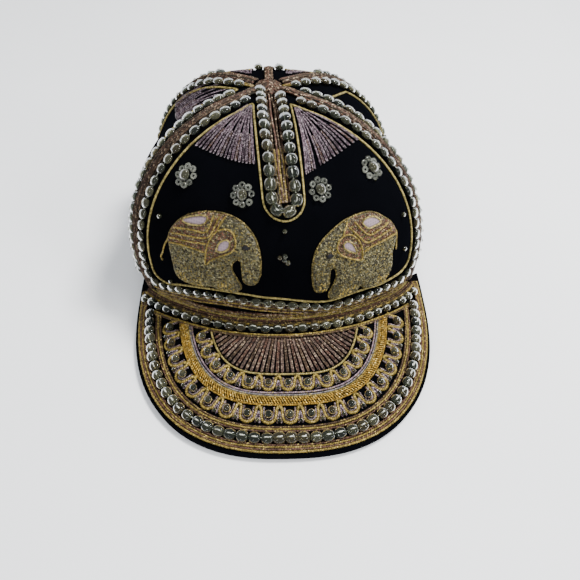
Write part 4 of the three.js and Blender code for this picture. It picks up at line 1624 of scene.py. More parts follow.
@dataclass
class BeadRows:
    """Strings of round glass beads on pale thread, along the borders of the panels and the peak."""

    finishes: Finishes
    pitch: float = 6.75
    radius: float = 3.12
    centre: float = 2.05
    flatness: float = 0.57
    from_seam: float = 6.3
    corner: float = 9.0
    side_height: float = 11.0
    apart_at_top: float = 19.2
    back_gap: float = 15.0
    spread: float = 86.4
    dart_offset: float = 6.4
    dart_bottom: float = 72.3
    dart_tops: tuple[float, float] = (156.0, 149.0)
    front_tops: tuple[float, float] = (1.0, 12.0)
    thread_radius: float = 0.42
    thread_colour: Colour = (0.78, 0.79, 0.66)
    thread_across: float = 0.8
    thread_end: float = 3.4
    wobble: float = 0.18
    sway: float = 0.16
    outer_thread: float = 0.25
    dart_pitch: float = 7.05
    dart_size: float = 1.13
    slimness: float = 0.9
    edge_row: tuple[float, float] = (9.4, 11.8)
    edge_count: int = 43
    edge_size: float = 1.06
    root_row: tuple[float, float] = (7.6, 0.04)
    root_count: int = 28
    front_angles: tuple[float, ...] = (-56, -38, -22, -8, 6, 18, 30, 42, 60.5)
    front_heights: tuple[float, ...] = (11.8, 16.4, 19.6, 18.0, 14.6, 11.0, 12.4, 12.6, 12.6)

    def height(self, panel: Panel) -> Height:
        """Returns how high a panel's row runs over the rim."""
        return over_rim(panel, self.front_angles, self.front_heights, self.side_height)

    def border(self, panel: Panel, from_seam: float, height: Height, tops: tuple[float, float]) -> Array:
        """Draws a border: down the left seam, along the rim and up the right seam.

        Args:
            panel: The panel.
            from_seam: Distance from its seams.
            height: Height over the rim, by angle.
            tops: Heights at which the border ends on its left and right seams.

        Returns:
            The border's path.
        """
        start = math.radians(panel.left.angle) + from_seam / self.spread
        end = math.radians(panel.right.angle) - from_seam / self.spread
        low_left, low_right = float(height(start)), float(height(end))
        down = CROWN.seam_run(panel.left, from_seam, tops[0], low_left + self.corner)
        rise = CROWN.seam_run(panel.right, -from_seam, low_right + self.corner, tops[1])
        bend = self.corner / self.spread
        along = CROWN.rim_run(start + bend, end - bend, height)
        left = CROWN.seam_place(panel.left, from_seam, low_left)[0]
        right = CROWN.seam_place(panel.right, -from_seam, low_right)[0]
        turns = self.turn(down[-1], left, along[0]), self.turn(along[-1], right, rise[0])
        return np.vstack([down, turns[0], along, turns[1], rise])

    @staticmethod
    def turn(before: Array, corner: Array, after: Array) -> Array:
        """Rounds a corner between two runs."""
        s = np.linspace(0, 1, 14)[1:-1, None]
        return (1 - s) ** 2 * before + 2 * s * (1 - s) * corner + s**2 * after

    def tops(self, panel: Panel, apart: float) -> tuple[float, float]:
        """Heights at which a border ends, where its two seams are a given distance apart.

        Args:
            panel: The panel.
            apart: The distance between its seams.

        Returns:
            Heights on the left and the right seam.
        """
        if panel.name == "front":
            left = CROWN.meeting_height(FRONT_LEFT, DART, apart)
            return left, CROWN.meeting_height(DART, FRONT_RIGHT, apart)
        if panel.name.startswith("back"):
            apart += self.back_gap
        return (CROWN.meeting_height(panel.left, panel.right, apart),) * 2

    def dart_path(self, offset: float, foot: float, top: tuple[float, float]) -> Array:
        """Draws a line down the left of the dart, round its foot and up its right side.

        Args:
            offset: Distance from the dart.
            foot: Height of the line's foot.
            top: Heights of its two ends.

        Returns:
            The line's path.
        """
        down = CROWN.seam_run(DART, -offset, top[0], foot + offset)
        places = []
        for turn in np.linspace(0, np.pi, 16)[1:-1]:
            height = foot + offset - offset * math.sin(turn)
            places.append(CROWN.seam_place(DART, -offset * math.cos(turn), height)[0])
        return np.vstack([down, places, CROWN.seam_run(DART, offset, foot + offset, top[1])])

    def string(
        self,
        name: str,
        rail: Rail,
        replaces: str,
        seed: int,
        count: int | None = None,
        size: float = 1.0,
        across: float = 0.0,
        slim: float = 1.0,
    ) -> None:
        """Strings beads along a rail with a thread through them.

        Args:
            name: Name of the row.
            rail: Line of the cloth under the beads.
            replaces: CAD node that the beads stand for.
            seed: Start of the row's small irregularities.
            count: Number of beads, or None for the usual pitch.
            size: Factor on the beads' radius.
            across: How far to the outside the thread runs.
            slim: Factor on the beads' width.
        """
        weave, thread = Weave(seed), Weave(seed + 500)
        count = count or int(round(rail.length / self.pitch))
        middles = (np.arange(count) + 0.5) * rail.length / count
        middles = middles + weave.random.normal(0, self.wobble, count)
        spots = rail.at(np.clip(middles, 0, rail.length))
        before = rail.at(np.clip(middles - 1.5, 0, rail.length)).points
        after = rail.at(np.clip(middles + 1.5, 0, rail.length)).points
        ahead = unit(after - before + weave.random.normal(0, self.wobble, (count, 3)))
        side = unit(np.cross(ahead, spots.normals))
        out = np.cross(side, ahead)
        radius = self.radius * size * weave.random.uniform(0.93, 1.05, count)
        length = radius * weave.random.uniform(1.07, 1.17, count)
        height = radius * self.flatness
        axes = np.stack([side * radius[:, None] * slim, out * height[:, None], ahead * length[:, None]], -1)
        jitter = side * weave.random.normal(0, self.sway, count)[:, None]
        places = spots.points + spots.normals * (self.centre * size) + jitter
        tint = np.array(weave.random.choice(len(BEAD_TINTS), count))
        dyes = np.array(BEAD_TINTS)[tint] * weave.random.uniform(0.9, 1.08, (count, 1))
        weave.copies(BEAD, axes, places, dyes)
        weave.build(f"glass_{name}", self.finishes.glass, Slot.GLASS, (replaces,))
        knots = np.empty((2 * count + 1, 3))
        rise = height * math.sqrt(1 - (across / self.radius) ** 2) + 0.3
        knots[1::2] = places + spots.normals * rise[:, None] + side * across
        knots[2:-1:2] = (places[1:] + places[:-1]) / 2
        knots[0] = places[0] - ahead[0] * self.thread_end
        knots[-1] = places[-1] + ahead[-1] * self.thread_end
        line = smooth_line(knots, 0.8)
        normals = rail.at(np.linspace(0, rail.length, len(line))).normals
        wide = self.outer_thread if across else self.thread_radius
        style = CordStyle(wide, lay=1.6, step=0.7, sides=5, relief=0.08)
        thread.cord(Rail(line, normals), style, self.thread_colour)
        thread.build(f"thread_{name}", self.finishes.thread, Slot.GLASS)

    def build(self) -> None:
        """Strings every full-size row."""
        for seed, panel in enumerate(PANELS):
            tops = self.tops(panel, self.apart_at_top)
            if panel.name == "front":
                tops = (tops[0] + self.front_tops[0], tops[1] + self.front_tops[1])
            rail = CROWN.rail(self.border(panel, self.from_seam, self.height(panel), tops))
            given = {"across": self.thread_across, "slim": self.slimness}
            self.string(panel.name, rail, f"beads_{panel.name}", 11 + seed, **given)
        dart = CROWN.rail(self.dart_path(self.dart_offset, self.dart_bottom, self.dart_tops))
        self.string("dart", dart, "beads_dart", 21, round(dart.length / self.dart_pitch), self.dart_size)
        edge = PEAK.rail(PEAK.edge_track(*self.edge_row))
        self.string("peak_edge", edge, "beads_peak_edge", 23, self.edge_count, self.edge_size)
        root = PEAK.rail(PEAK.root_track(*self.root_row))
        self.string("peak_root", root, "beads_peak_root", 25, self.root_count)


BEAD = Shape.bead()
SMALL_BEAD = Shape.bead(8, 6, 0.25)
RING_BEAD = Shape.ring_bead()
CHIP = Shape.chip()
BEAD_TINTS = (
    (0.118, 0.122, 0.074),
    (0.084, 0.092, 0.060),
    (0.180, 0.176, 0.106),
    (0.052, 0.060, 0.044),
    (0.124, 0.106, 0.056),
)
RING_TINTS = ((0.42, 0.43, 0.36), (0.30, 0.31, 0.26), (0.55, 0.56, 0.48))
BRAID_DYES = (Dye.RUST, Dye.SHADOW, Dye.ROSE, Dye.UMBER, Dye.BROWN, Dye.SHADOW, Dye.ROSE, Dye.UMBER)
BROWN_CORD = CordStyle(0.66, lay=4.0, relief=0.24)
GOLD_LINE = CordStyle(0.6, lay=3.8, relief=0.16)
BORDER_CORD = CordStyle(0.64, lay=3.9, relief=0.2)
FINE_CORD = CordStyle(0.5, relief=0.16)
SCALLOP_CORD = CordStyle(0.9, lay=3.6, relief=0.22, step=0.55)
FAN_CORD = CordStyle(0.3, lay=3.6, relief=0.2, step=0.7)
RAY_CORD = CordStyle(0.44, lay=3.6, relief=0.2, step=0.7)


@dataclass
class SeamCords:
    """Bundles of red-brown cords couched over the seams, along the rim and down the dart."""

    finishes: Finishes
    rest: float = 0.3
    wander: float = 0.26
    wander_length: float = 6.0
    top_clearance: float = 8.5
    offsets: tuple[float, ...] = (-3.9, -2.6, -1.3, 0.0, 1.3, 2.6, 3.9)
    ridge: float = 1.6
    back_ridge: float = 0.5
    front_start: float = 3.0
    rear_start: float = 8.3
    dart_start: float = 77.0
    dart_gold: float = 0.4
    gold_beside: float = 4.4
    rim_start: float = 5.9
    under_beads: float = 6.2
    low_height: float = 3.0
    back_height: float = 5.4

    def bundle(
        self,
        name: str,
        rail: Rail,
        offsets: Sequence[float],
        replaces: str | None,
        seed: int,
        ridge: float,
        style: CordStyle = BROWN_CORD,
        dye: Dye | None = None,
        narrow: float = 1.0,
    ) -> None:
        """Lays cords side by side along a rail.

        Args:
            name: Name of the bundle.
            rail: The bundle's middle line on the cloth.
            offsets: Sideways place of each cord.
            replaces: CAD node that the bundle stands for, if any.
            seed: Start of its small irregularities.
            ridge: Extra height of its middle.
            style: How the cords are laid.
            dye: Their dye, or None for a mix of browns.
            narrow: Factor on the bundle's width at its far end.
        """
        weave = Weave(seed)
        rail = rail.even(1.2)
        half = max(abs(x) for x in offsets) + style.radius
        taper = 1 + (narrow - 1) * smoothstep(np.linspace(0, 1, len(rail.points)), 0.35, 0.95)
        for number, offset in enumerate(offsets):
            waves = np.linspace(0, rail.length / self.wander_length, len(rail.points))
            wander = self.wander * np.sin(waves + 2.1 * number)
            crown_lift = ridge * (1 - (offset / half) ** 2)
            lift = self.rest + style.radius * 0.9 + crown_lift + 0.1 * np.cos(wander * 20)
            shade = dye or BRAID_DYES[(number + seed) % len(BRAID_DYES)]
            weave.cord(rail.shifted(offset * taper + wander, lift), style, shade.value, 0.3)
        weave.build(name, self.finishes.brown, Slot.BRAID, (replaces,) if replaces else ())

    def gold(self, name: str, rail: Rail, offsets: Sequence[float], seed: int, ridge: float) -> None:
        """Lays a bundle of fine gold cords that stands for no node."""
        self.bundle(name, rail, offsets, None, seed, ridge, FINE_CORD, Dye.GOLD)

    def up_seam(self, seam: Seam, start: float, beside: float = 0.0, lift: float = 0.0) -> Rail:
        """Returns the rail beside a seam, from a height up to the gather."""
        top = CROWN.seam_length(seam) - self.top_clearance
        return CROWN.rail(CROWN.seam_run(seam, beside, start, top, 150), lift)

    def build(self, rows: BeadRows) -> None:
        """Lays every bundle of the crown.

        Args:
            rows: The rows of beads that the front bundle keeps clear of.
        """
        seams = (
            ("front_left", FRONT_LEFT, self.front_start, 0.7),
            ("front_right", FRONT_RIGHT, self.front_start, 0.55),
            ("rear_left", REAR_LEFT, self.rear_start, 0.8),
            ("rear_right", REAR_RIGHT, self.rear_start, 0.8),
            ("centre_back", CENTRE_BACK, self.rear_start, 0.5),
        )
        for seed, (name, seam, start, narrow) in enumerate(seams):
            rail = self.up_seam(seam, start)
            ridge = self.back_ridge if seam is CENTRE_BACK else self.ridge
            self.bundle(f"cords_{name}", rail, self.offsets, f"braid_{name}", 31 + seed, ridge, narrow=narrow)
        for seed, (seam, way) in enumerate(((REAR_LEFT, 1), (REAR_RIGHT, -1))):
            rail = self.up_seam(seam, self.rear_start, self.gold_beside * way, 0.2)
            self.gold(f"gold_edge_{seed + 1}", rail, (-0.5, 0.5), 44 + seed, 0.3)
        dart = self.up_seam(DART, self.dart_start, 0.0, 0.6)
        self.bundle("cords_dart", dart, (-2.6, -0.95, 0.95, 2.6), "braid_dart", 37, 0.6)
        low = dart.part(0.0, self.dart_gold).shifted(0.0, 0.45)
        self.gold("cords_dart_gold", low, (-1.75, 0.0, 1.75), 36, 0.1)
        self.round_rim(rows)

    def round_rim(self, rows: BeadRows) -> None:
        """Lays the bundles along the rim.

        Args:
            rows: The beads that the front bundle keeps clear of.
        """
        row = rows.height(PANELS[0])
        start = float(CROWN.beside(FRONT_LEFT, 0.0, self.rim_start))
        end = float(CROWN.beside(FRONT_RIGHT, 0.0, -self.rim_start))
        front = CROWN.rail(CROWN.rim_run(start, end, lambda phi: row(phi) - self.under_beads))
        self.bundle("cords_rim_front", front, (-2.3, -0.8, 0.7, 2.2), "braid_rim_front", 38, 0.3)
        low = CROWN.rail(CROWN.rim_run(start, end, lambda phi: np.full(np.shape(phi), self.low_height)))
        self.bundle("cords_rim_low", low, (-1.9, -0.65, 0.6), None, 40, 0.1)
        self.gold("cords_rim_gold", front.shifted(0.0, 0.7), (-1.55, 1.45), 42, 0.2)
        self.gold("cords_low_gold", low.shifted(0.0, 0.55), (-1.25, 1.1), 43, 0.1)
        start = float(CROWN.beside(FRONT_RIGHT, 0.0, self.rim_start))
        end = float(CROWN.beside(FRONT_LEFT, 0.0, -self.rim_start)) + 2 * math.pi
        back = CROWN.rail(CROWN.rim_run(start, end, lambda phi: np.full(np.shape(phi), self.back_height)))
        self.bundle("cords_rim_back", back, (-1.6, 0.0, 1.6), "braid_rim_back", 39, 0.4)


@dataclass
class GoldLines:
    """Single gold cords round the field of each panel."""

    finishes: Finishes
    from_seam: float = 10.75
    dart_foot: float = 67.9
    side_height: float = 15.5
    apart_at_top: float = 22.4
    right_levels: tuple[float, float] = (0.79, 0.66)
    front_angles: tuple[float, ...] = (-46, -38, -29, -21, -12, -6, 1.5, 7, 16, 21, 26, 33, 41, 49)
    front_heights: tuple[float, ...] = (
        15.6, 19.8, 22.6, 23.5, 22.6, 20.9, 19.4, 17.4, 14.2, 14.4, 16.2, 17.0, 16.2, 17.6
    )

    def build(self, rows: BeadRows) -> None:
        """Lays one closed gold line on each panel.

        Args:
            rows: The rows of beads, whose border the lines follow.
        """
        weave = Weave(51)
        for panel in PANELS:
            tops = rows.tops(panel, self.apart_at_top)
            if panel.name == "side_right":
                seams = zip((FRONT_RIGHT, REAR_RIGHT), self.right_levels)
                tops = tuple(CROWN.height_on(seam, level) for seam, level in seams)
            height = over_rim(panel, self.front_angles, self.front_heights, self.side_height)
            path = rows.border(panel, self.from_seam, height, tops)
            if panel.name == "front":
                left = CROWN.height_on(DART, CROWN.meeting_level(FRONT_LEFT, DART, self.apart_at_top))
                right = CROWN.height_on(DART, CROWN.meeting_level(DART, FRONT_RIGHT, self.apart_at_top))
                path = np.vstack([path, rows.dart_path(self.from_seam, self.dart_foot, (left, right))[::-1]])
            rail = CROWN.rail(np.vstack([path, path[:1]]), GOLD_LINE.radius * 0.9, closed=True)
            weave.cord(rail, GOLD_LINE, Dye.PALE_GOLD.value)
        weave.build("gold_lines", self.finishes.gold, Slot.GOLD)


def hairpin(start: Array, end: Array, start_half: float, end_half: float, count: int) -> tuple[Array, Array]:
    """Draws a hairpin: two lines that spread, and a loop that joins them at their end.

    Args:
        start: Middle of its open end.
        end: Middle of the loop's base.
        start_half: Half its width at the start.
        end_half: Half its width at the end.
        count: Number of points on each line.

    Returns:
        The whole hairpin, and its loop alone.
    """
    ahead = unit(end - start)
    side = np.array([-ahead[1], ahead[0]])
    share = np.linspace(0, 1, count)[:, None]
    middle = start + (end - start) * share
    half = start_half + (end_half - start_half) * share
    turn = np.linspace(0, np.pi, 7)[1:-1, None]
    loop = end + (side * np.cos(turn) + ahead * np.sin(turn)) * end_half
    return np.vstack([middle + side * half, loop, (middle - side * half)[::-1]]), loop


@dataclass(frozen=True)
class Fan:
    """A fan of rays. Its apex and the left, middle and right of its edge are angle and level."""

    name: str
    apex: tuple[float, float]
    left: tuple[float, float]
    middle: tuple[float, float]
    right: tuple[float, float]
    rays: int
    narrow: tuple[int, ...] = ()
    reach: float = 1.0
    left_out: tuple[int, ...] = ()


@dataclass
class Fans:
    """Fans of lilac hairpin cords at the top of each field, with pale loops along their edge."""

    finishes: Finishes
    lift: float = 0.75
    starts: tuple[float, ...] = (0.06, 0.46, 0.22, 0.6)
    edge_share: float = 0.19
    apex_half: float = 0.14
    narrow_share: float = 0.45
    loop_rise: float = 0.42
    fans: tuple[Fan, ...] = (
        Fan("front_left", (-29.8, 0.905), (-46.0, 0.645), (-25.7, 0.634), (-8.0, 0.624), 17, (1, 3, 5, 8)),
        Fan(
            "front_right", (35.0, 0.883), (15.8, 0.574), (29.8, 0.611), (56.0, 0.638), 17,
            (0, 1, 2, 3, 4, 6), left_out=(5,),
        ),
        Fan(
            "side_left", (-98.0, 0.853), (-117.0, 0.53), (-92.0, 0.60), (-66.0, 0.669), 15,
            (3, 6, 9, 12), reach=2.1,
        ),
        Fan("back_left", (-150.0, 0.855), (-171.0, 0.60), (-150.0, 0.585), (-131.5, 0.60), 14),
        Fan("back_right", (150.0, 0.855), (131.5, 0.60), (150.0, 0.585), (171.0, 0.60), 14),
    )

    def build(self) -> None:
        """Lays every fan."""
        for seed, fan in enumerate(self.fans):
            self.fan(fan, 61 + seed)

    def fan(self, fan: Fan, seed: int) -> None:
        """Lays one fan's hairpins and the pale loops at their ends.

        Args:
            fan: The fan.
            seed: Start of its small irregularities.
        """
        weave = Weave(seed)
        patch = Patch(fan.middle[0], (fan.apex[1] + fan.middle[1]) / 2)
        corners = np.array([fan.apex, fan.left, fan.middle, fan.right])
        apex, left, middle, right = patch.flat(np.radians(corners[:, 0]), corners[:, 1])
        apex = middle + (apex - middle) * fan.reach
        s = (np.arange(fan.rays) + 0.5)[:, None] / fan.rays
        bend = 2 * middle - (left + right) / 2
        ends = (1 - s) ** 2 * left + 2 * s * (1 - s) * bend + s**2 * right
        spacing = run_lengths(ends)[-1] / (fan.rays - 1)
        lines, dyes = [], []
        for number, end in enumerate(ends):
            if number in fan.left_out:
                continue
            start = apex + (end - apex) * (1 - (1 - self.starts[number % 4]) / fan.reach)
            wide = spacing * self.edge_share * (self.narrow_share if number in fan.narrow else 1)
            lines += hairpin(start, end, min(self.apex_half, wide), wide, 12)
            dyes += [(Dye.LILAC, Dye.MAUVE, Dye.LILAC, Dye.ROSE)[number % 4], Dye.SILVER]
        joined = patch.solve(np.vstack(lines))
        cuts = np.cumsum([len(line) for line in lines])[:-1]
        for number, (line, dye) in enumerate(zip(np.split(joined, cuts), dyes)):
            weave.cord(CROWN.rail(line, self.lift + self.loop_rise * (number % 2)), FAN_CORD, dye.value, 0.35)
        weave.build(f"fan_{fan.name}", self.finishes.lilac, Slot.BRAID)


def plan_shift(track: Array, along: Array, inward: Array) -> Array:
    """Places points beside a track in plan.

    Args:
        track: The track, from left to right.
        along: Distances along the track.
        inward: Distances to the left of the direction of travel.

    Returns:
        The points.
    """
    travelled = run_lengths(track)
    ahead = unit(np.gradient(track, axis=0))
    turn = np.stack([-ahead[:, 1], ahead[:, 0]], 1)
    side = unit(read_along(along, travelled, turn))
    return read_along(along, travelled, track) + side * np.asarray(inward, float)[:, None]


def set_beads(weave: Weave, rail: Rail, radius: float, centre: float, stretch: float = 1.0) -> None:
    """Sets one bead on each point of a rail, with its hole along the rail.

    Args:
        weave: Takes the beads.
        rail: Places on the cloth.
        radius: Radius of a bead.
        centre: Height of its middle over the cloth.
        stretch: Factor on its length.
    """
    count = len(rail.points)
    ahead = unit(rail.ahead() + weave.random.normal(0, 0.2, (count, 3)))
    side = unit(np.cross(ahead, rail.normals))
    out = np.cross(side, ahead)
    sizes = radius * weave.random.uniform(0.93, 1.05, count)[:, None]
    axes = np.stack([side * sizes, out * sizes, ahead * sizes * stretch], -1)
    tint = np.array(BEAD_TINTS)[weave.random.choice(len(BEAD_TINTS), count)]
    weave.copies(SMALL_BEAD, axes, rail.points + rail.normals * centre, tint)


@dataclass(frozen=True)
class Scallops:
    """A row of looped scallops on the peak, drawn in shares of the pitch and distance from the edge."""

    name: str
    count: int
    middle: float
    clearance: float
    wave: Line
    inner: Line
    bud: Line
    bead: float
    small: float
    small_at: float


OUTER_SCALLOPS = Scallops(
    "outer", 19, 21.8, 13.0,
    wave=((-0.5, 26.6), (-0.38, 25.0), (-0.35, 21.8), (-0.27, 18.9), (0, 17.4), (0.27, 18.9), (0.35, 21.8),
          (0.38, 25.0)),
    inner=((-0.25, 26.0), (-0.24, 22.0), (-0.17, 19.7), (0, 18.8), (0.17, 19.7), (0.24, 22.0), (0.25, 26.0)),
    bud=((0.41, 17.4), (0.42, 20.4), (0.5, 23.8), (0.58, 20.4), (0.59, 17.4)),
    bead=2.5, small=1.4, small_at=18.7,
)
INNER_SCALLOPS = Scallops(
    "inner", 13, 39.3, 13.0,
    wave=((-0.5, 43.4), (-0.38, 42.2), (-0.33, 39.4), (-0.25, 36.9), (0, 35.6), (0.25, 36.9), (0.33, 39.4),
          (0.38, 42.2)),
    inner=((-0.25, 42.8), (-0.24, 39.6), (-0.16, 37.8), (0, 36.9), (0.16, 37.8), (0.24, 39.6), (0.25, 42.8)),
    bud=((0.41, 35.4), (0.42, 38.0), (0.5, 41.0), (0.58, 38.0), (0.59, 35.4)),
    bead=2.3, small=1.3, small_at=36.4,
)


@dataclass
class PeakWork:
    """The cords and scallops of the peak, from its edge to its root."""

    finishes: Finishes
    ray_count: int = 39
    ray_root: float = 13.4
    ray_line: float = 44.4
    ray_half: float = 0.15
    ray_gap: float = 1.0
    lift: float = 0.75
    wander: float = 0.1
    wander_length: float = 11.0
    hub_share: float = 1.09
    stitch_rows: tuple[float, ...] = (-1.25, 0.0, 1.25)
    stitch_pitch: float = 1.5
    stitch_slant: float = 0.7
    stitch_half: float = 0.95
    stitch_radius: float = 0.5

    def build(self) -> None:
        """Lays everything that lies on the peak, apart from its strings of beads."""
        self.bands()
        for row in (OUTER_SCALLOPS, INNER_SCALLOPS):
            self.scallops(row)
        self.rays()
        self.rope()

    def bands(self) -> None:
        """Lays the two braids of the outer border and the thin lines."""
        gold, pale, rose, brown = Dye.GOLD, Dye.PALE_GOLD, Dye.ROSE, Dye.BROWN
        edge, root = PEAK.edge_track, PEAK.root_track
        border = ((1.8, gold), (0.6, rose), (-0.6, gold), (-1.8, rose))
        inner = ((1.2, rose), (0.0, gold), (-1.2, brown))
        silver = ((0.75, Dye.SILVER), (-0.55, Dye.LAVENDER))
        seat = ((-1.9, pale), (-0.5, rose), (0.9, brown), (2.2, gold))
        bands = (
            ("edge_cords", edge(4.3, 4), border, BORDER_CORD, ("peak_edge_braid",)),
            ("inner_cords", edge(14.2, 11.2), inner, BORDER_CORD, ("peak_inner_braid",)),
            ("silver_line", edge(33.5, 11.8), silver, FINE_CORD, ()),
            ("ray_line", edge(self.ray_line, 12.6), ((0.0, pale),), GOLD_LINE, ()),
            ("ray_root", root(12.0, 0.1), ((-0.65, gold), (0.65, brown)), GOLD_LINE, ()),
            ("root_cords", root(2.6, 0.03), seat, GOLD_LINE, ()),
        )
        for seed, (name, track, cords, style, replaces) in enumerate(bands):
            weave = Weave(71 + seed)
            rail = PEAK.rail(track).even(1.2)
            for number, (across, dye) in enumerate(cords):
                waves = np.linspace(0, rail.length / self.wander_length, len(rail.points))
                wander = self.wander * np.sin(waves + 1.7 * number)
                lift = 0.3 + style.radius * 0.9 + 0.12 * (number % 2)
                weave.cord(rail.shifted(across + wander, lift), style, dye.value, 0.15)
            weave.build(f"peak_{name}", self.finishes.gold, Slot.GOLD, replaces)

    def rope(self) -> None:
        """Lays the ochre band: rows of slanting stitches between two cords."""
        weave = Weave(77)
        rail = PEAK.rail(PEAK.edge_track(29.5, 11.2)).even(1.2)
        for across, dye in ((-2.3, Dye.GOLD), (2.3, Dye.OCHRE)):
            weave.cord(rail.shifted(across, self.lift), FINE_CORD, dye.value, 0.05)
        for row, across in enumerate(self.stitch_rows):
            count = int(rail.length / self.stitch_pitch)
            spots = rail.at((np.arange(count) + 0.5 + 0.5 * (row % 2)) * self.stitch_pitch)
            ahead, side = spots.ahead(), spots.sides()
            slant = unit(side * math.cos(self.stitch_slant) + ahead * math.sin(self.stitch_slant))
            slant = unit(slant + weave.random.normal(0, 0.06, slant.shape))
            beside = np.cross(spots.normals, slant)
            thick = self.stitch_radius
            columns = [slant * self.stitch_half, beside * thick, spots.normals * thick]
            lift = 1.0 + 0.35 * (1 - abs(across))
            places = spots.points + side * across + spots.normals * lift
            dyes = np.array(Dye.OCHRE.value) * weave.random.uniform(0.45, 0.85, (count, 1))
            weave.copies(CHIP, np.stack(columns, -1), places, dyes)
        weave.build("peak_rope_band", self.finishes.gold, Slot.GOLD, ("peak_gold_band",))

    def scallops(self, row: Scallops) -> None:
        """Lays one row of scallops with its beads.

        Args:
            row: How the row is drawn.
        """
        gold, plum, beads = Weave(81 + row.count), Weave(82 + row.count), Weave(83 + row.count)
        track = PEAK.edge_track(row.middle, row.clearance)
        pitch = run_lengths(track)[-1] / row.count
        middles = (np.arange(row.count) + 0.5) * pitch

        def line(*parts: tuple[float, Line]) -> Rail:
            """Lays a line on the peak, drawn round one place after another."""
            smooth = smooth_line([(place + a * pitch, d) for place, drawn in parts for a, d in drawn], 0.5)
            return PEAK.rail(plan_shift(track, smooth[:, 0], smooth[:, 1] - row.middle), self.lift)

        last = (middles[-1], ((0.51, row.wave[0][1]),))
        gold.cord(line(*((middle, row.wave) for middle in middles), last), SCALLOP_CORD, Dye.GOLD.value)
        for number, middle in enumerate(middles):
            plum.cord(line((middle, row.inner)), BORDER_CORD, Dye.PLUM.value, 0.2)
            if number < row.count - 1:
                dye = Dye.LILAC if number % 2 else Dye.PLUM
                plum.cord(line((middle, row.bud)), BORDER_CORD, dye.value, 0.2)
        large = plan_shift(track, middles, np.zeros(row.count))
        between = middles[:-1] + pitch / 2
        small = plan_shift(track, between, np.full(row.count - 1, row.small_at - row.middle))
        set_beads(beads, PEAK.rail(large), row.bead, 0.2 + row.bead)
        set_beads(beads, PEAK.rail(small), row.small, 0.3 + row.small)
        gold.build(f"scallop_wave_{row.name}", self.finishes.gold, Slot.GOLD)
        plum.build(f"scallop_loops_{row.name}", self.finishes.lilac, Slot.BRAID)
        name = f"scallops_{row.name}"
        beads.build(f"glass_{name}", self.finishes.glass, Slot.GLASS, (f"beads_{name}",))

    def rays(self) -> None:
        """Lays the plum hairpins that spread from the root to the inner line."""
        weave = Weave(91)
        outer = PEAK.edge_track(self.ray_line, 13.4)
        root = PEAK.root_track(self.ray_root, 0.0)
        middle = len(root) // 2
        hub = root[middle] + (root[middle] - outer[len(outer) // 2]) * self.hub_share
        share = (np.arange(self.ray_count) + 0.5) / self.ray_count
        ends = plan_shift(outer, share * run_lengths(outer)[-1], np.zeros(self.ray_count))
        steps = np.gradient(ends, axis=0)
        for number, end in enumerate(ends):
            ahead = unit(end - hub)
            side = np.array([-ahead[1], ahead[0]])
            wide = abs(float(steps[number] @ side)) * self.ray_half
            end = end - ahead * (self.ray_gap + wide)
            run = hub + (end - hub) * np.linspace(0, 1, 200)[:, None]
            start = run[np.argmax(run[:, 1] < np.interp(run[:, 0], root[:, 0], root[:, 1]))]
            start_half = wide * np.linalg.norm(start - hub) / np.linalg.norm(end - hub)
            line = hairpin(start, end, start_half, wide, 10)[0]
            dye = (Dye.PLUM, Dye.ROSE, Dye.PLUM, Dye.BROWN)[number % 4]
            weave.cord(PEAK.rail(line, self.lift), RAY_CORD, dye.value, 0.25)
        weave.build("peak_rays", self.finishes.brown, Slot.BRAID)


@dataclass(frozen=True)
class Figure:
    """A padded elephant, drawn in millimetres on a plane that touches the crown."""

    name: str
    angle: float
    level: float
    outline: Line
    saddle: Line
    ear: Line
    satin: tuple[Line, ...]
    cords: tuple[Line, ...]
    eye: tuple[float, float]
    tail: Line
    toes: tuple[tuple[float, float, float], ...]


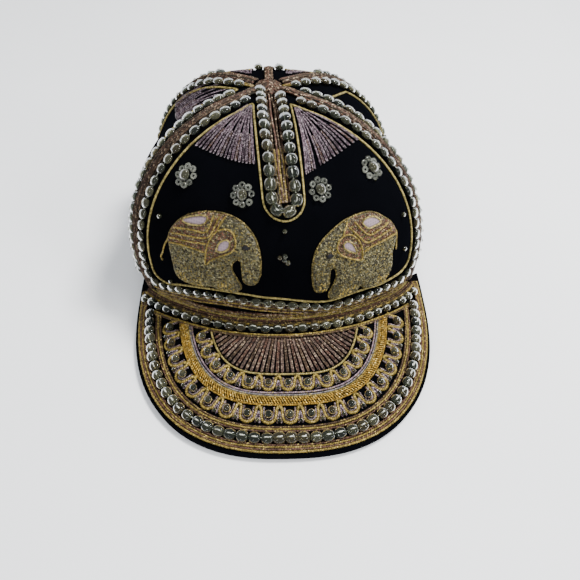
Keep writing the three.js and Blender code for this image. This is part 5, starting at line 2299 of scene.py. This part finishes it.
LEFT_FIGURE = Figure(
    "left", -22.8, 0.264,
    outline=(
        (-27.2, -2.7), (-27.4, 4), (-24, 10), (-17.8, 15.8), (-9.2, 19.6), (-1, 21.1), (6.9, 20.8),
        (14.4, 18.2), (20.3, 13.1), (24, 6.3), (25.6, -3.1), (25.2, -10.8), (23, -16.4), (19.6, -18.2),
        (16.4, -16.4), (15.9, -10.4), (15.5, -4), (13.3, -2.4), (10.4, -5.6), (10.3, -9.6), (12.2, -14.3),
        (14.4, -19.6),
        (12.9, -23), (8.9, -24.8), (2.7, -23.6), (-3.2, -22.8), (-7.6, -23.9), (-15.4, -24.6), (-21.4, -23.6),
        (-25.4, -19.8), (-26, -12.9),
    ),
    saddle=(
        (-27.4, 0.5), (-27.4, 4), (-24, 10), (-17.8, 15.8), (-9.2, 19.6), (-1, 21.1), (6.9, 20.8),
        (4.2, 15.8), (2.9, 11.8), (-1.7, 5.5), (-3.5, -0.2), (-10.8, 0.8), (-18.8, 1.3),
    ),
    ear=(
        (-3, 0.5), (-1.7, 5.5), (1.7, 11.1), (5.5, 13.5), (10, 13.3), (12.6, 9.8), (12.7, 5.2), (10.5, 2),
        (6, -0.3), (-0.2, -3.8), (-3.6, -7),
    ),
    satin=(
        ((3.0, 2.0), (4.2, 6.2), (7.6, 8.4), (9.9, 7.4), (9.2, 4.0), (6.2, 1.8)),
        ((-17.3, 15.2), (-15.6, 13.4), (-7.4, 13.6), (-3.6, 15.6), (-3.4, 18.6), (-9.0, 18.2)),
    ),
    cords=(
        ((0.2, 19.9), (-1, 15), (-3.6, 10.5), (-10.9, 10.6), (-18.7, 9.9), (-23.2, 9.2)),
        ((-27.0, 3.5), (-21.3, 3.8), (-12, 4.1), (-2.8, 4.8)),
        ((-27, 0.5), (-18.8, 1.3), (-10.8, 0.8), (-3.5, -0.2)),
        ((6.9, 20.2), (4.2, 15.8), (2.9, 11.8)),
        ((3.6, 19.8), (1.6, 14.6), (-1.6, 8.6), (-8, 7.2), (-17, 6.9), (-24.6, 6.4)),
    ),
    eye=(18.2, 5.3),
    tail=((-27.0, 3.4), (-29.6, -0.6), (-31.6, -4.4), (-33, -8.4), (-34.9, -11.7), (-34, -14.2)),
    toes=((-21, -23.8, 8), (-11, -24.2, 8), (6, -24, 9)),
)
RIGHT_FIGURE = Figure(
    "right", 30, 0.232,
    outline=(
        (-25.8, -0.4), (-24.2, 6.6), (-19.6, 12.6), (-13.1, 17.2), (-5.7, 20.4), (5.1, 21.6), (12.4, 20.3),
        (19.6, 15.8), (26.2, 9.4), (27.6, 2.6), (25.4, -6), (26.4, -14), (25.6, -21.6), (21.6, -26.2),
        (15.4, -26.8), (8.9, -25.6), (4.7, -22), (2.6, -25.2), (-6, -26.8), (-12, -27.6), (-14.7, -23.4),
        (-12.9, -16), (-11.9, -10.4), (-13.6, -5.4), (-16, -5.6), (-16.2, -11), (-16.1, -18), (-19, -20.2),
        (-22.4, -19.6), (-24.8, -13.9), (-25.8, -6.4),
    ),
    saddle=(
        (1.3, 4.8), (-1.5, 10), (-5.6, 13), (-10.2, 12.4), (-7.6, 16.6), (-5.7, 20.4), (5.1, 21.6),
        (12.4, 20.3), (19.6, 15.8), (26.2, 9.4), (27.6, 4.8), (23.5, 5.3), (13.3, 3.8), (6.5, 2.9),
        (3.1, 1.5),
    ),
    ear=(
        (1.9, -2.3), (-1.2, -2.1), (-7.3, 0.6), (-12.6, 4.7), (-13.1, 9.1), (-10.2, 12.4), (-5.6, 13),
        (-1.5, 10), (1.3, 4.8),
    ),
    satin=(
        ((-9.6, 8.2), (-7.8, 9.8), (-4.6, 8.4), (-2.2, 4.2), (-1.8, 2.0), (-5.6, 3.6), (-9.0, 6.2)),
        ((2.9, 17.3), (6.2, 13.6), (11, 13.8), (15.3, 14.7), (11.8, 18.2), (6.5, 19)),
    ),
    cords=(
        ((-1.9, 18.8), (1.8, 14), (6.6, 9.9), (13.5, 10.8), (20.6, 13.2)),
        ((-5.7, 16.7), (-1, 11.8), (4.5, 6.4), (12, 7.0), (23.6, 9.6)),
        ((3.1, 1.5), (6.5, 2.9), (13.3, 3.8), (23.5, 5.3), (27.2, 5.0)),
        ((-5.6, 20.0), (-7.6, 16.6), (-9.6, 13.2)),
    ),
    eye=(-17.5, 3.9),
    tail=((26.6, 7.4), (28.5, 5.2), (28.7, -1.2), (28.9, -6.2)),
    toes=((20, -26.2, 9), (-5, -26.8, 10), (-19.5, -20, 5)),
)


def grid_over(outline: Array, step: float) -> Array:
    """Returns rows of grid points over the box round an outline."""
    low, high = outline.min(0), outline.max(0)
    return np.stack(np.meshgrid(*(np.arange(a, b, step) for a, b in zip(low, high))), -1)


@dataclass
class PaddedFigures:
    """Two padded elephants, covered with bits of purl and edged with gold cord."""

    finishes: Finishes
    rest: float = 0.3
    rise: float = 2.0
    shoulder: float = 3.5
    cell: float = 1.2
    bit_length: float = 1.5
    bit_radius: float = 0.42
    bit_pitch: float = 1.1
    bit_seat: float = 0.55
    toe_height: float = 7.0
    satin_shoulder: float = 1.6
    toe_pitch: float = 2.1
    fill: float = 0.85
    edge_lift: float = 0.75
    cord_lift: float = 0.85
    eye_half: tuple[float, float] = (2.0, 1.4)

    def build(self) -> None:
        """Models and dresses both figures."""
        self.figure(LEFT_FIGURE, 101)
        self.figure(RIGHT_FIGURE, 111)

    def dome(self, drawn: Array, outline: Array) -> Array:
        """Returns the padding's height over the velvet at drawn points."""
        share = np.clip(outline_distance(drawn, outline) / self.shoulder, 0, 1)
        return self.rest + self.rise * np.sqrt(1 - (1 - share) ** 2)

    def cushion(
        self, name: str, patch: Patch, shape: Array, height: Height, seat: float, material: Material
    ) -> Piece:
        """Shapes a padded piece from its outline.

        Args:
            name: The piece's name.
            patch: The plane that it is drawn on.
            shape: Its closed outline.
            height: Height of its top at drawn points.
            seat: Height of its underside over the velvet.
            material: Its finish.

        Returns:
            The piece, with smooth faces all facing out.
        """
        grid = grid_over(shape, self.cell).reshape(-1, 2)
        grid = grid[inside(grid, shape)]
        grid = grid[outline_distance(grid, shape) > self.cell * 0.5]
        drawn = [Vector(p) for p in np.vstack([shape, grid])]
        ring = list(range(len(shape)))
        drawn, _, faces, *_ = delaunay_2d_cdt(drawn, [], [ring], 1, 1e-5)
        flat = np.array([tuple(p) for p in drawn])
        places = patch.solve(flat)
        top = CROWN.place(places[:, 0], places[:, 1], height(flat))[0]
        bottom = CROWN.place(places[:, 0], places[:, 1], seat)[0]
        count = len(flat)
        below = [[i + count for i in reversed(face)] for face in faces]
        sides = [[(i + 1) % len(ring), i, i + count, (i + 1) % len(ring) + count] for i in ring]
        mesh = bpy.data.meshes.new(name)
        mesh.from_pydata(to_row(np.vstack([top, bottom])).tolist(), [], [*faces, *below, *sides])
        mesh.polygons.foreach_set("use_smooth", np.ones(len(mesh.polygons), bool))
        piece = add_object(name, mesh)
        select_only(piece)
        set_mode("EDIT")
        bpy.ops.mesh.select_all(action="SELECT")
        bpy.ops.mesh.normals_make_consistent(inside=False)
        set_mode("OBJECT")
        piece.data.materials.append(material)
        return piece

    def figure(self, figure: Figure, seed: int) -> None:
        """Builds one figure: padding, satin, bits of purl, cords, eye and tail.

        Args:
            figure: The figure.
            seed: Start of its small irregularities.
        """
        patch = Patch(figure.angle, figure.level)
        outline = smooth_line(figure.outline, 0.9, closed=True)[:-1]
        name = f"elephant_body_{figure.name}"
        body = self.cushion(name, patch, outline, lambda p: self.dome(p, outline), 0.0, self.finishes.padding)
        finish_piece(body, self.finishes.padding, Slot.APPLIQUE, (f"elephant_{figure.name}",))
        satins = [smooth_line(shape, 0.8, closed=True)[:-1] for shape in figure.satin]
        for number, shape in enumerate(satins):

            def raised(drawn: Array, shape: Array = shape) -> Array:
                """Returns the height of the satin over the velvet."""
                swell = np.clip(outline_distance(drawn, shape) / self.satin_shoulder, 0, 1)
                return self.dome(drawn, outline) + 0.35 + 0.45 * np.sqrt(1 - (1 - swell) ** 2)

            name = f"elephant_satin_{figure.name}_{number + 1}"
            piece = self.cushion(name, patch, shape, raised, 1.2, self.finishes.lavender)
            finish_piece(piece, self.finishes.lavender, Slot.APPLIQUE)
        self.bits(figure, patch, outline, satins, seed)
        self.cords(figure, patch, outline, seed + 5)

    def bits(self, figure: Figure, patch: Patch, outline: Array, satins: Sequence[Array], seed: int) -> None:
        """Covers the padding with short bits of purl that lie every way.

        Args:
            figure: The figure.
            patch: The plane that it is drawn on.
            outline: Its smooth outline.
            satins: Outlines of its satin patches, which stay clear.
            seed: Start of small irregularities.
        """
        weave = Weave(seed)
        grid = grid_over(outline, self.bit_pitch)
        grid[1::2, :, 0] += self.bit_pitch / 2
        spots = grid.reshape(-1, 2) + weave.random.normal(0, 0.2, (grid.shape[0] * grid.shape[1], 2))
        spots = spots[inside(spots, outline)]
        spots = spots[outline_distance(spots, outline) > 0.35]
        for shape in satins:
            spots = spots[~inside(spots, shape)]
        saddle = inside(spots, np.array(figure.saddle)) | inside(spots, np.array(figure.ear))
        pick = weave.random.random(len(spots))
        plain = np.where(pick[:, None] < 0.5, Dye.GREY_GREEN.value, Dye.STRAW.value)
        plain = np.where(pick[:, None] > 0.8, Dye.SHADOW.value, plain)
        reds = np.where(pick[:, None] < 0.6, Dye.RUST.value, Dye.BROWN.value)
        reds = np.where(pick[:, None] > 0.85, Dye.STRAW.value, reds)
        dyes = np.where(saddle[:, None], reds, plain)
        for x, y, width in figure.toes:
            near = (np.abs(spots[:, 0] - x) < width / 2) & (spots[:, 1] - y < self.toe_height)
            stripe = np.mod(spots[:, 0] - x, self.toe_pitch) < self.toe_pitch * 0.45
            dyes = np.where((near & stripe)[:, None], Dye.GOLD.value, dyes)
        dyes = dyes * weave.random.uniform(0.5, 1.5, (len(spots), 1))

        def laid(drawn: Array) -> tuple[Array, Array]:
            """Places drawn points where the bits rest on the padding."""
            return patch.at(drawn, self.dome(drawn, outline) + self.bit_radius * self.bit_seat)

        step = 0.3
        points, normals = laid(spots)
        ahead = laid(spots + [step, 0])[0] - points
        aside = laid(spots + [0, step])[0] - points
        out = unit(np.cross(unit(ahead), unit(aside)) + 0.001 * normals)
        turn = weave.random.uniform(0, np.pi, len(spots))[:, None]
        along = unit(unit(ahead) * np.cos(turn) + unit(aside) * np.sin(turn))
        tilt = unit(along + out * weave.random.normal(0, 0.16, (len(spots), 1)))
        side = unit(np.cross(out, tilt))
        sizes = weave.random.uniform(0.85, 1.15, (len(spots), 1))
        thick = self.bit_radius * sizes
        columns = [tilt * self.bit_length / 2 * sizes, side * thick, np.cross(tilt, side) * thick]
        weave.copies(CHIP, np.stack(columns, -1), points, dyes)
        weave.build(f"elephant_purl_{figure.name}", self.finishes.purl, Slot.APPLIQUE)

    def cords(self, figure: Figure, patch: Patch, outline: Array, seed: int) -> None:
        """Couches the gold cords on a figure, and sets its eye and tail.

        Args:
            figure: The figure.
            patch: The plane that it is drawn on.
            outline: Its smooth outline.
            seed: Start of small irregularities.
        """
        weave = Weave(seed)
        edge = smooth_line(figure.outline, 0.7, closed=True)
        weave.cord(patch.rail(edge, self.edge_lift, closed=True), GOLD_LINE, Dye.STRAW.value)
        inner = [(points, False, Dye.GOLD) for points in figure.cords]
        inner += [(points, True, Dye.PALE_GOLD) for points in figure.satin] + [(figure.ear, True, Dye.GOLD)]
        for points, closed, dye in inner:
            line = smooth_line(points, 0.7, closed)
            lift = self.dome(line, outline) + self.cord_lift
            weave.cord(patch.rail(line, lift, closed), FINE_CORD, dye.value)
        weave.cord(patch.rail(smooth_line(figure.tail, 0.6), 0.7), FINE_CORD, Dye.GOLD.value)
        turn = np.linspace(0, 2 * np.pi, 13)[:, None]
        ring = figure.eye + np.hstack([np.cos(turn), np.sin(turn)]) * self.eye_half
        weave.cord(patch.rail(ring, self.dome(ring, outline) + 0.6, True), FINE_CORD, Dye.SHADOW.value)
        weave.build(f"elephant_cords_{figure.name}", self.finishes.gold, Slot.GOLD)
        pupil = Weave(seed + 1)
        eye = np.array([figure.eye])
        spot = patch.rail(eye, self.dome(eye, outline) + 1.1)
        axes = np.stack([patch.across * 1.9, patch.up * 1.3, spot.normals[0] * 0.7], -1)[None]
        pupil.copies(SMALL_BEAD, axes, spot.points, np.array([[0.004, 0.004, 0.006]]))
        pupil.build(f"elephant_eye_{figure.name}", self.finishes.thread, Slot.APPLIQUE)


@dataclass
class BeadFlowers:
    """Rosettes of an oval bead in a ring of ring beads, and the loose beads between the figures."""

    finishes: Finishes
    core: float = 2.75
    stretch: float = 1.2
    petal: float = 1.95
    ring: float = 4.7
    petals: int = 8
    rest: float = 0.3
    loose: float = 1.35
    flowers: tuple[tuple[str, float, float], ...] = (
        ("left_outer", -41.2, 0.523),
        ("left_inner", -13.0, 0.499),
        ("right_inner", 20.8, 0.508),
        ("right_outer", 49.8, 0.523),
    )
    singles: Line = ((-46.7, 0.34), (54.3, 0.305), (52, 0.172), (3.7, 0.362), (-42, 0.083))
    cluster: tuple[float, float] = (2.7, 0.253)

    def build(self) -> None:
        """Sets every flower and loose bead."""
        for seed, (name, angle, level) in enumerate(self.flowers):
            self.flower(name, Patch(angle, level, 0.3), 121 + seed)
        self.scattered()

    def flower(self, name: str, patch: Patch, seed: int) -> None:
        """Sets one rosette.

        Args:
            name: Where it sits.
            patch: The plane at its middle.
            seed: Start of its small irregularities.
        """
        weave = Weave(seed)
        rail = patch.rail(np.zeros((1, 2)), self.rest + self.core * 0.8)
        lean = weave.random.uniform(-0.4, 0.4)
        across = patch.across * math.cos(lean) + patch.up * math.sin(lean)
        up = np.cross(patch.normal, across)
        axes = np.stack([across, patch.normal * 0.85, up * self.stretch], -1)[None] * self.core
        weave.copies(BEAD, axes, rail.points, np.array([BEAD_TINTS[2]]))
        turn = (np.arange(self.petals) + weave.random.uniform(0, 1)) * 2 * np.pi / self.petals
        wide = np.stack([np.cos(turn) * self.ring, np.sin(turn) * self.ring * 1.08], 1)
        wide += weave.random.normal(0, 0.15, wide.shape)
        ring = patch.rail(wide, self.rest + self.petal * 0.45)
        for spot, normal in zip(ring.points, ring.normals):
            tilt = unit(normal + weave.random.normal(0, 0.16, 3))
            side = unit(np.cross(patch.up, tilt))
            size = self.petal * weave.random.uniform(0.92, 1.04)
            axes = np.stack([side, np.cross(tilt, side), tilt], -1)[None] * size
            weave.copies(RING_BEAD, axes, spot[None], np.array([RING_TINTS[weave.random.integers(3)]]))
        weave.build(f"flower_{name}", self.finishes.glass, Slot.GLASS, (f"rosette_{name}",))

    def scattered(self) -> None:
        """Sets the loose beads."""
        weave = Weave(131)
        for angle, level in self.singles:
            spot = CROWN.rail(np.array([[math.radians(angle), level]] * 2) + [[0, 0], [0.01, 0]])
            set_beads(weave, Rail(spot.points, spot.normals).at(np.array([0.0, 0.01])), self.loose, 1.2)
        patch = Patch(*self.cluster, 0.2)
        spots = patch.rail(np.array([[-2.2, 0.9], [0.2, -0.6], [2.1, -2.2], [0.6, 1.7]]))
        set_beads(weave, spots, self.loose, 1.4, 1.15)
        weave.build("loose_beads", self.finishes.glass, Slot.GLASS)


@dataclass
class TopKnot:
    """The gather of braid where all seams meet."""

    finishes: Finishes
    radius: float = 7.6
    rise: float = 2.2
    loops: int = 19
    loop_half: float = 1.1
    rest: float = 0.8

    def build(self) -> None:
        """Lays overlapping loops of cord over the point of the crown."""
        weave = Weave(141)
        apex = CROWN.place(np.array([0.0]), np.array([0.999]))[0][0]
        turn = np.linspace(0, 2 * np.pi, 28)
        for number in range(self.loops):
            way = 2 * np.pi * number / self.loops
            along = np.array([math.cos(way), math.sin(way), 0])
            aside = np.array([-math.sin(way), math.cos(way), 0])
            reach = (1 + np.cos(turn)) / 2
            wide = np.sin(turn) * (self.loop_half + 0.3 * (number % 3))
            lift = self.rest + self.rise * (1 - reach**1.5) + 0.25 * (number % 2)
            line = apex + along * (reach * self.radius)[:, None] + aside * wide[:, None]
            line[:, 2] += lift
            out = unit(along * reach[:, None] + np.array([0, 0, 1.2]))
            dye = (Dye.ROSE, Dye.UMBER, Dye.RUST, Dye.UMBER, Dye.BROWN)[number % 5]
            weave.cord(Rail(line, out, True), BROWN_CORD, dye.value, 0.2)
        weave.build("top_knot", self.finishes.brown, Slot.BRAID, ("top_gather",))


@dataclass
class Studio:
    """Plain pale floor, soft light from above and the camera."""

    azimuth: float = -3.2
    elevation: float = 47.4
    roll: float = 1.7
    distance: float = 400.0
    focal_pixels: float = 674.0
    picture: float = 580.0
    sensor: float = 36.0
    target: tuple[float, float, float] = (4.9, -68.8, 25.0)
    floor_half: float = 1.6
    lit_spot: tuple[float, float, float] = (0, 0, 0.05)
    lights: tuple[tuple[str, tuple[float, float, float], float, float], ...] = (
        ("key", (0.42, 0.12, 0.95), 0.26, 19.5),
        ("fill", (0.7, -0.5, 0.7), 0.3, 5.0),
        ("front", (-0.35, -0.9, 0.6), 0.26, 4.0),
    )
    sky_colour: Colour = (0.86, 0.90, 0.96)
    sky_strength: float = 1.02

    def build(self) -> None:
        """Sets the floor, the lights, the sky and the camera."""
        self.floor()
        for lamp in self.lights:
            self.light(*lamp)
        self.sky()
        self.camera()

    def floor(self) -> None:
        """Lays the floor."""
        deselect()
        bpy.ops.mesh.primitive_plane_add(size=2 * self.floor_half)
        floor = bpy.context.object
        floor.name = "floor"
        floor.data.materials.append(FloorFinish().material())

    def light(self, name: str, place: tuple[float, float, float], size: float, power: float) -> None:
        """Hangs a square soft light that faces the cap.

        Args:
            name: The light's name.
            place: Where it hangs, in metres.
            size: Its side in metres.
            power: Its power in watts.
        """
        lamp = bpy.data.lights.new(name, "AREA")
        lamp.size = size
        lamp.energy = power
        holder = add_object(name, lamp)
        holder.location = place
        holder.rotation_euler = (Vector(place) - Vector(self.lit_spot)).to_track_quat("Z", "Y").to_euler()

    def sky(self) -> None:
        """Surrounds the scene with pale light."""
        world = bpy.data.worlds.new("sky")
        world.use_nodes = True
        back = next(n for n in world.node_tree.nodes if n.type == "BACKGROUND")
        back.inputs["Color"].default_value = (*self.sky_colour, 1)
        back.inputs["Strength"].default_value = self.sky_strength
        bpy.context.scene.world = world

    def camera(self) -> None:
        """Places the camera where the picture was taken from."""
        turn, lift, roll = (math.radians(a) for a in (self.azimuth, self.elevation, self.roll))
        back = Vector((math.sin(turn) * math.cos(lift), -math.cos(turn) * math.cos(lift), math.sin(lift)))
        right = (-back).cross(Vector((0, 0, 1))).normalized()
        up = right.cross(-back)
        right, up = right * math.cos(roll) + up * math.sin(roll), up * math.cos(roll) - right * math.sin(roll)
        lens = bpy.data.cameras.new("camera")
        lens.sensor_width = self.sensor
        lens.lens = self.focal_pixels / self.picture * self.sensor
        lens.clip_start = 0.01
        holder = add_object("camera", lens)
        target = Vector(to_row(np.array(self.target)))
        turned = Matrix((right, up, back)).transposed().to_4x4()
        holder.matrix_world = Matrix.Translation(target + back * self.distance * MM) @ turned
        bpy.context.scene.camera = holder


def main() -> None:
    """Builds the cap piece by piece and notes its new size."""
    logging.basicConfig(level=logging.INFO, format="%(message)s")
    finishes = Finishes()
    CrownCloth(finishes).build()
    PeakBoard(finishes).build()
    rows = BeadRows(finishes)
    rows.build()
    SeamCords(finishes).build(rows)
    GoldLines(finishes).build(rows)
    Fans(finishes).build()
    PeakWork(finishes).build()
    PaddedFigures(finishes).build()
    BeadFlowers(finishes).build()
    TopKnot(finishes).build()
    Studio().build()


if __name__ == "__main__":
    main()
